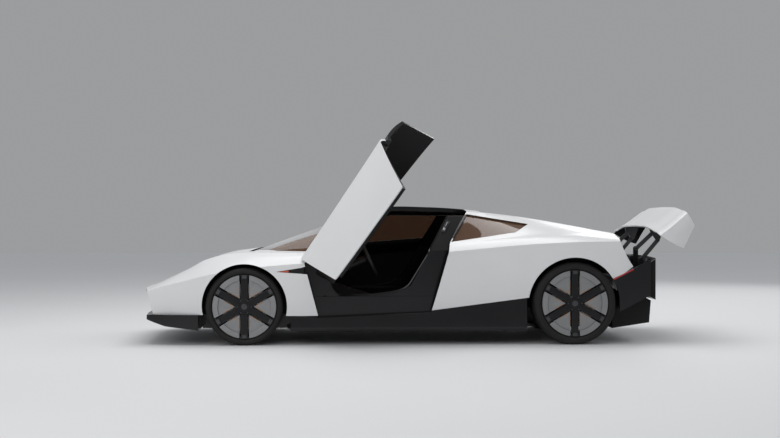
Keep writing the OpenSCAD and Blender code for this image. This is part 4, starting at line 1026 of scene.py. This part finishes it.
# %% Round pieces of a wheel
SPOKE_N, SPOKE_W, PLATE_GAP, HUB_R, BRAKE_R = 6, 60, 9, 70, 190
FLANGE_IN, FLANGE_T, RIM_WALL = 8, 10, 10
GROOVES, GROOVE_DEPTH = (0.24, 0.09), 7
HUB_IN, HUB_BACK = 26, -20
HUB = [(HUB_R, 16), (HUB_R - 6, 10), (50, 10), (48, 7), (44, 6.2), (HUB_IN, 6.2)]
HUB_CAP = [(0.1, 9), (24.5, 9), (24.5, 7), (22, 6.2), (0.1, 6.2)]
DISC = [(95, 108), (BRAKE_R, 108), (BRAKE_R, 100), (BRAKE_R - 6, 100), (BRAKE_R - 6, 94), (BRAKE_R, 94),
        (BRAKE_R, 86), (118, 86), (112, 88), (95, 88)]
BELL = [(60, 106), (96, 106), (96, 66), (60, 66)]


def revolved(name, profile, material, n=96):
    """A closed profile of radius and height turned about the wheel's axis."""
    m = len(profile)
    verts = [(r * c * MM, r * s * MM, z * MM) for c, s in circle(1, n) for r, z in profile]
    faces = [[i * m + j, ((i + 1) % n) * m + j, ((i + 1) % n) * m + (j + 1) % m, i * m + (j + 1) % m]
             for i in range(n) for j in range(m)]
    mesh = bpy.data.meshes.new(name)
    mesh.from_pydata(verts, [], faces)
    mesh.materials.append(material)
    outwards(mesh)
    return new_object(name, mesh)


def below(face, profile):
    """A profile of radius and depth, as radius and height."""
    return [(r, face - depth) for r, depth in profile]


def tyre_profile(r, w, rim):
    wall = r - rim
    half = below(w / 2, [
        (rim - 7.7, 18.3), (rim + 1, 18.3), (rim + 3, 9), (rim + 9, 4), (rim + wall * 0.30, 1),
        (rim + wall * 0.45, 0), (rim + wall * 0.72, 4), (r - 12, 9), (r - 6, 16), (r - 2, 25), (r, 36)])
    for share in GROOVES:
        y = w * share
        half += [(r, y + 5), (r - GROOVE_DEPTH, y + 4), (r - GROOVE_DEPTH, y - 4), (r, y - 5)]
    return half + [(a, -b) for a, b in reversed(half)]


def barrel_profile(rim, bore, h):
    """A deep ring with a flange at each end, the outer one with eased edges."""
    return [(bore, -h), (rim - 2, -h), (rim, -h + 2), (rim, -h + FLANGE_T), (rim - FLANGE_IN, -h + FLANGE_T),
            (rim - FLANGE_IN, h - FLANGE_T), (rim, h - FLANGE_T), (rim, h - 3), (rim - 3, h), (bore + 4, h),
            (bore, h - 4)]


print("brake disc of", 2 * BRAKE_R, "mm")

# %% [markdown]
# The flat pieces of a wheel are outlines with a bevel: six black spokes with a rib and a steel cap each, and
# between them aero plates with a raised band near the rim and copper along their inner edges. A table gives
# each kind its two depths, its finish and its bevel.

# %% Flat pieces of a wheel
RIDGE, STRIP_R, STRIP_END, STRIP_W = 0.87, 80, 0.66, 4
SPOKE_PITCH = math.pi / SPOKE_N
LAYERS = {"sheet": (34, 24, PLATE, 1.2), "band": (34, 7, PLATE, 5), "strip": (24, 22.2, COPPER, 0.5),
          "spoke": (52, 12, SPOKE, 5), "rib": (13, 10.2, SPOKE, 1), "tip": (30, 7, SPOKE, 3),
          "cap": (8, 5.4, LINK, 1.2)}


def plate(name, outline, z0, z1, material, bevel):
    obj = prism(outline, z0, z1, "Z", material)
    obj.name = name
    return bevelled(obj, bevel)


def around(obj, angle):
    return moved(obj, Matrix.Rotation(angle, 4, "Z"))


def bar(r0, half0, r1, half1):
    """The outline of a bar along a radius, with its half widths at both ends."""
    return [(r0, -half0), (r1, -half1), (r1, half1), (r0, half0)]


def wedge(r0, r1, margin, steps=10):
    """A plate's outline between two spokes, from an inner radius out to an outer one."""
    side = SPOKE_W / 2 + PLATE_GAP + margin

    def across(r):
        reach = SPOKE_PITCH - math.asin(side / r)
        return [polar(r, reach * (2 * i / steps - 1)) for i in range(steps + 1)]

    tip = side / math.sin(SPOKE_PITCH)
    return across(r1) + ([(tip, 0)] if r0 <= tip else across(r0)[::-1])


def copper_strip(r0, r1, side):
    """A thin strip along one inner edge of a plate."""
    y = SPOKE_W / 2 + PLATE_GAP + 1
    points = [(r0, y), (r1, y), (r1, y + STRIP_W), (r0 + STRIP_W / math.tan(SPOKE_PITCH), y + STRIP_W)]
    c, s = polar(1, -SPOKE_PITCH)
    out = [(x * c - v * s, x * s + v * c) for x, v in points]
    return out if side > 0 else [(x, -v) for x, v in reversed(out)]


print("layers of a wheel:", ", ".join(LAYERS))

# %% [markdown]
# Bolts round the hub and drill marks round the brake disc are the same thing: small prisms on a ring. One
# Geometry Nodes tree makes both.

# %% Bolt ring by Geometry Nodes


def bolt_tree():
    tree, given = node_tree("bolt_ring", [
        ("Count", "Int", 6), ("Ring Radius", "Float", 0.05), ("Bolt Radius", "Float", 0.008),
        ("Bolt Height", "Float", 0.006), ("Face Height", "Float", 0.1)])
    ring, bolt = add(tree, "GeometryNodeMeshCircle"), add(tree, "GeometryNodeMeshCylinder", Vertices=6)
    put, lift = add(tree, "GeometryNodeInstanceOnPoints"), add(tree, "ShaderNodeCombineXYZ")
    shift = add(tree, "GeometryNodeTransform")
    wire(tree, (given["Count"], ring.inputs["Vertices"]), (given["Ring Radius"], ring.inputs["Radius"]),
         (given["Bolt Radius"], bolt.inputs["Radius"]), (given["Bolt Height"], bolt.inputs["Depth"]),
         (ring.outputs[0], put.inputs["Points"]), (bolt.outputs["Mesh"], put.inputs["Instance"]),
         (given["Face Height"], lift.inputs["Z"]), (put.outputs[0], shift.inputs["Geometry"]),
         (lift.outputs[0], shift.inputs["Translation"]))
    return last_nodes(tree, given, shift.outputs[0])


BOLTS = bolt_tree()


def bolt_ring(name, count, ring, r, h, at, material):
    return made_by(BOLTS, name, Count=count, Ring_Radius=ring * MM, Bolt_Radius=r * MM, Bolt_Height=h * MM,
                   Face_Height=at * MM, Material=material)


print("tree for rings of bolts:", BOLTS.name)

# %% [markdown]
# Front and rear wheels differ in width and radius, so a set of three pieces is made for each axle and copied
# to both sides.

# %% Four wheels
HUB_LAP = 12


def wheel_set(r, w, rim):
    """Tyre, rim with plates, spokes with hub and disc, lying flat with the outer face up."""
    face = w / 2
    bore = rim - FLANGE_IN - RIM_WALL
    half = SPOKE_W / 2

    def layer(kind, outline, turn):
        low, high, material, bevel = LAYERS[kind]
        return around(plate(kind, outline, face - low, face - high, material, bevel), turn)

    tyre = revolved("tyre", tyre_profile(r, w, rim), RUBBER)
    rim_parts = [revolved("barrel", barrel_profile(rim, bore, face - FLANGE_IN), SPOKE)]
    spoke_parts = []
    for i in range(SPOKE_N):
        turn = 2 * SPOKE_PITCH * i
        rim_parts += [layer("sheet", wedge(0, RIDGE * bore + 5, 0), turn),
                      layer("band", wedge(RIDGE * bore, rim - 4, 1), turn)]
        rim_parts += [layer("strip", copper_strip(STRIP_R, STRIP_END * bore, s), turn) for s in (1, -1)]
        turn += SPOKE_PITCH
        spoke_parts += [layer("spoke", bar(HUB_R - HUB_LAP, half, bore - 1, half), turn),
                        layer("rib", bar(HUB_R + 6, 7, bore - 66, 10), turn),
                        layer("tip", bar(bore - 26, half, rim - 3, half), turn),
                        layer("cap", bar(bore - 18, 19, rim - 8, 20), turn)]
    spoke_parts += [
        revolved("hub", [(HUB_IN, HUB_BACK), (HUB_R, HUB_BACK)] + below(face, HUB), SPOKE),
        revolved("hub_cap", below(face, HUB_CAP), LINK, 48), revolved("disc", below(face, DISC), STEEL),
        revolved("bell", below(face, BELL), CAST, 64),
        bolt_ring("bolts", SPOKE_N, 58, 6, 4, face - 9, LINK),
        bolt_ring("drills", 40, 152, 5, 1, face - 85.9, TRIM)]
    return smoothed(tyre, 50), smoothed(joined("rim", rim_parts)), smoothed(joined("spokes", spoke_parts))


for end, x, track, r, w, rim in (("front", FRONT_AXLE, 800, FRONT_TYRE_R, 245, 270),
                                 ("rear", REAR_AXLE, 795, REAR_TYRE_R, 315, 282)):
    flat = wheel_set(r, w, rim)
    for side, sign in (("left", 1), ("right", -1)):
        stand = (Matrix.Translation(Vector((x, sign * track, r)) * MM)
                 @ Matrix.Rotation(-sign * math.pi / 2, 4, "X"))
        for part, kind, slot in zip(flat, ("tyre", "rim", "spokes"), ("tyre", "rim_grey", "spoke_black")):
            node = f"{kind}_{end}_{side}"
            whole = new_object(node + "_dressed", part.data.copy())
            placed(moved(whole, stand), slot, f"wheel_{end}_{side}", node)
    for part in flat:
        bpy.data.objects.remove(part)

# %% [markdown]
# The cabin is black leather and moulded trim. The seats are foam under leather: a crowned pad whose sides
# pull in, with sewn channels across it, on a hard shell, between two round bolsters. Foam under tight
# leather hardly drapes, so the pads are drawn by rule along a side-view line and then subdivided.

# %% Seats and dashboard
SEAT_Y, SEAT_W, SHELL_IN, PAD_W, BOLSTER_W = 330, 450, 26, 318, 58
SEW_DEPTH, SEW_WIDTH, PAD_EDGE, PULL_IN = 0.28, 0.011, 0.14, 0.015
SHELL_SIDE = [[222, 140], [232, 262], [-232, 205], [-408, 880], [-452, 918], [-490, 886], [-338, 140]]
BASE_LINE = [[-200, 228], [120, 276], [214, 286]]
BACK_LINE = [[-392, 872], [-350, 720], [-290, 500], [-232, 300]]
BOLSTER_BASE = [[-150, 262], [60, 285], [196, 300]]
BOLSTER_BACK = [[-318, 740], [-262, 540], [-205, 330]]


def along_path(points, n, rounds=6):
    """Even steps along a line of points with its corners eased, and the share of its length at each step."""
    p = np.array(points, float)
    run = np.concatenate([[0], np.cumsum(np.linalg.norm(np.diff(p, axis=0), axis=1))])
    s = np.linspace(0, run[-1], n)
    at = np.stack([np.interp(s, run, c) for c in p.T], -1)
    for _ in range(rounds):
        at[1:-1] = (at[:-2] + 2 * at[1:-1] + at[2:]) / 4
    return at, s / run[-1]


def pad(name, points, width, thick, channels, n=56, m=25):
    """A crowned closed pad along a side-view line, with sewn channels at shares of its length."""
    at, s = along_path(points, n)
    d = np.gradient(at, axis=0)
    d /= np.linalg.norm(d, axis=1, keepdims=True)
    v = np.linspace(-1, 1, m)
    ends = (1 - np.abs(2 * s - 1) ** 8) ** 0.5
    sides = (1 - np.abs(v) ** 4) ** 0.5
    sewn = np.ones(n)
    for c in channels:
        sewn -= SEW_DEPTH * np.exp(-((s - c) / SEW_WIDTH) ** 2)
    lift = thick * (PAD_EDGE + (1 - PAD_EDGE) * (ends * sewn)[:, None] * sides[None, :])
    across = v[None, :] * (width / 2) * (1 - PULL_IN + PULL_IN * ends[:, None])
    front, back = (np.stack([at[:, :1] - d[:, 1:] * rise, across, at[:, 1:] + d[:, :1] * rise], -1)
                   for rise in (lift, np.zeros((n, m))))
    obj = shell(name, front, back, [LEATHER, LEATHER])
    soft = obj.modifiers.new("soft", "SUBSURF")
    soft.levels = soft.render_levels = 1
    return smoothed(bake(obj), 60)


BOLSTER_Y = SEAT_W / 2 - 31
for side, sign in (("left", 1), ("right", -1)):
    to_seat = Matrix.Translation((0, sign * SEAT_Y * MM, 0))
    hard = prism(SHELL_SIDE, SHELL_IN - SEAT_W / 2, SEAT_W / 2 - SHELL_IN, material=TRIM)
    hard.name = "seat_shell_" + side
    placed(smoothed(moved(bevelled(hard, 14, segments=4), to_seat)), "cabin_leather", "root", "seats")
    for name, points, width, thick, channels, y in (
            ("seat_cushion", BASE_LINE, PAD_W, 44, (0.25, 0.45, 0.65, 0.85), 0),
            ("seat_back", BACK_LINE, PAD_W, 40, (0.18, 0.34, 0.5, 0.66), 0),
            ("bolster_base_outer", BOLSTER_BASE, BOLSTER_W, 62, (), BOLSTER_Y),
            ("bolster_base_inner", BOLSTER_BASE, BOLSTER_W, 62, (), -BOLSTER_Y),
            ("bolster_back_outer", BOLSTER_BACK, BOLSTER_W, 66, (), BOLSTER_Y),
            ("bolster_back_inner", BOLSTER_BACK, BOLSTER_W, 66, (), -BOLSTER_Y)):
        cushion = pad(f"{name}_{side}", points, width, thick, channels)
        moved(cushion, to_seat @ Matrix.Translation((0, y * MM, 0)))
        placed(cushion, "cabin_leather", "root", "seats")

dressed("dashboard", "cabin_leather", [LEATHER], 12)

# %% [markdown]
# A raised lip closes the foot of each door opening and rounds its corners. A gloss seal follows it from the
# hinge post along the sill and on up the pillar. It is a curve with a round section, made a mesh at once.

# %% Door seals
SEAL_R, SEAL_STEP, SEAL_Y, LIP_IN, LIP_OUT = 9, 14, 779, 15, 5
SILL_LIP = [(668, 518), (655, 478), (640, 440), (605, 412), (560, 406), (317, 416), (150, 436), (60, 458),
            (6, 490)]
LIP_FOOT = [(-20, 480), (-20, 398), (700, 398), (700, 520)]
POST_EDGE = [(786, 640), (786, 590), (745, 562), (700, 546)]
JAMB_TOP = (-168, 772)


def bead(name, points, r, material):
    """A round seal along a line of points, with its corners eased."""
    length = np.linalg.norm(np.diff(np.array(points, float), axis=0), axis=1).sum()
    p, _ = along_path(points, int(length / SEAL_STEP) + 1, 4)
    curve = bpy.data.curves.new(name, "CURVE")
    curve.dimensions = "3D"
    curve.bevel_depth = r * MM
    curve.bevel_resolution = 3
    curve.use_fill_caps = True
    spline = curve.splines.new("POLY")
    spline.points.add(len(p) - 1)
    for at, co in zip(spline.points, p * MM):
        at.co = (*co, 1)
    maker = new_object(name, curve)
    mesh = bpy.data.meshes.new_from_object(maker.evaluated_get(bpy.context.evaluated_depsgraph_get()))
    bpy.data.objects.remove(maker)
    mesh.materials.append(material)
    return new_object(name, mesh)


lip = bevelled(prism(SILL_LIP + LIP_FOOT, SEAL_Y - LIP_IN, SEAL_Y + LIP_OUT, material=BLACK), 3)
seal_path = [(x, SEAL_Y, z) for x, z in POST_EDGE + SILL_LIP + [JAMB_TOP]]
seal_path += [(x, y - PILLAR_TRIM_T / 2, z) for x, y, z in (PILLAR_FOOT, PILLAR_TOP)]
placed_pair(joined("door_seal_left", [bead("seal", seal_path, SEAL_R, BLACK), lip]), "gloss_black")

# %% [markdown]
# Near the top of each pillar a latch waits for the door: a dark plate with a steel catch and a loop. It is
# made flat and then laid on the leaning pillar by a matrix of the pillar's own three directions.

# %% Door latches
LATCH_X, LATCH_Z, LOOP_R = -322, 985, 4
LOOP = [(0, 34, 4), (0, 34, 20), (0, -6, 20), (0, -6, 4)]
foot, top = Vector(PILLAR_FOOT), Vector(PILLAR_TOP)
climb_way = (top - foot).normalized()
face_way = climb_way.cross(Vector((1, 0, 0))).normalized()
side_way = climb_way.cross(face_way)
latch_at = foot + (top - foot) * (LATCH_Z - foot.z) / (top.z - foot.z)
latch_at.x = LATCH_X
stand = Matrix((side_way, climb_way, face_way)).transposed().to_4x4()
stand.translation = latch_at * MM
latch_parts = [plate("latch_base", [(-17, -62), (17, -62), (17, 62), (-17, 62)], -2, 6, LINK, 2),
               plate("latch_catch", [(-10, -48), (10, -48), (10, -22), (-10, -22)], 5, 14, STEEL, 2)]
latch_parts += [rod("latch_loop", a, b, LOOP_R, STEEL) for a, b in zip(LOOP, LOOP[1:])]
placed_pair(moved(joined("latch_left", latch_parts), stand), "bare_metal")

# %% [markdown]
# The steering wheel has a round leather rim with a flat hub and three spokes. Stitches run round the inside
# of the rim, set by a Geometry Nodes tree along a circle.

# %% Steering wheel
STEER = Vector((335, 330, 715)) * MM
STEER_TILT, STEER_R, GRIP_R, SEAM_PLAY, SEAM_POINTS = 25, 172, 15, 0.3, 90
STEER_TURN = Matrix.Translation(STEER) @ Matrix.Rotation(math.radians(90 + STEER_TILT), 4, "Y")
BOSS = [(0.1, -18), (32, -18), (40, -12), (42, -4), (42, 23.5), (0.1, 23.5)]


def stitch_tree():
    tree, given = node_tree("stitch_run", [
        ("Pitch", "Float", 0.008), ("Thread", "Float", 0.0009), ("Stitch", "Float", 0.005)])
    curve, points = add(tree, "GeometryNodeMeshToCurve"), add(tree, "GeometryNodeCurveToPoints")
    points.mode = "LENGTH"
    thread = add(tree, "GeometryNodeMeshCylinder", Vertices=5)
    put = add(tree, "GeometryNodeInstanceOnPoints")
    wire(tree, (given["Geometry"], curve.inputs["Mesh"]), (curve.outputs[0], points.inputs["Curve"]),
         (given["Pitch"], points.inputs["Length"]), (given["Thread"], thread.inputs["Radius"]),
         (given["Stitch"], thread.inputs["Depth"]), (points.outputs["Points"], put.inputs["Points"]),
         (points.outputs["Rotation"], put.inputs["Rotation"]),
         (thread.outputs["Mesh"], put.inputs["Instance"]))
    return last_nodes(tree, given, put.outputs[0])


def stitched(name, points):
    mesh = bpy.data.meshes.new(name)
    steps = [(i, i + 1) for i in range(len(points) - 1)]
    mesh.from_pydata([tuple(c * MM for c in p) for p in points], steps, [])
    return made_by(stitch_tree(), name, mesh, Material=COPPER)


grip = revolved("grip", [(STEER_R + x, y) for x, y in circle(GRIP_R, 16)], LEATHER, 72)
boss = revolved("boss", BOSS, TRIM, 48)
arms = [around(plate("arm", bar(34, 16, STEER_R - 6, 11), -8, 6, LINK, 3), math.radians(angle))
        for angle in (0, 120, 240)]
seam_r = STEER_R - GRIP_R - SEAM_PLAY
turns = [2 * math.pi * i / SEAM_POINTS for i in range(SEAM_POINTS + 1)]
seam = stitched("rim_seam", [(*polar(seam_r, a), 0) for a in turns])
steering = joined("steering_wheel_dressed", [grip, boss, seam] + arms)
placed(smoothed(moved(steering, STEER_TURN), 45), "cabin_leather", "root", "steering_wheel")
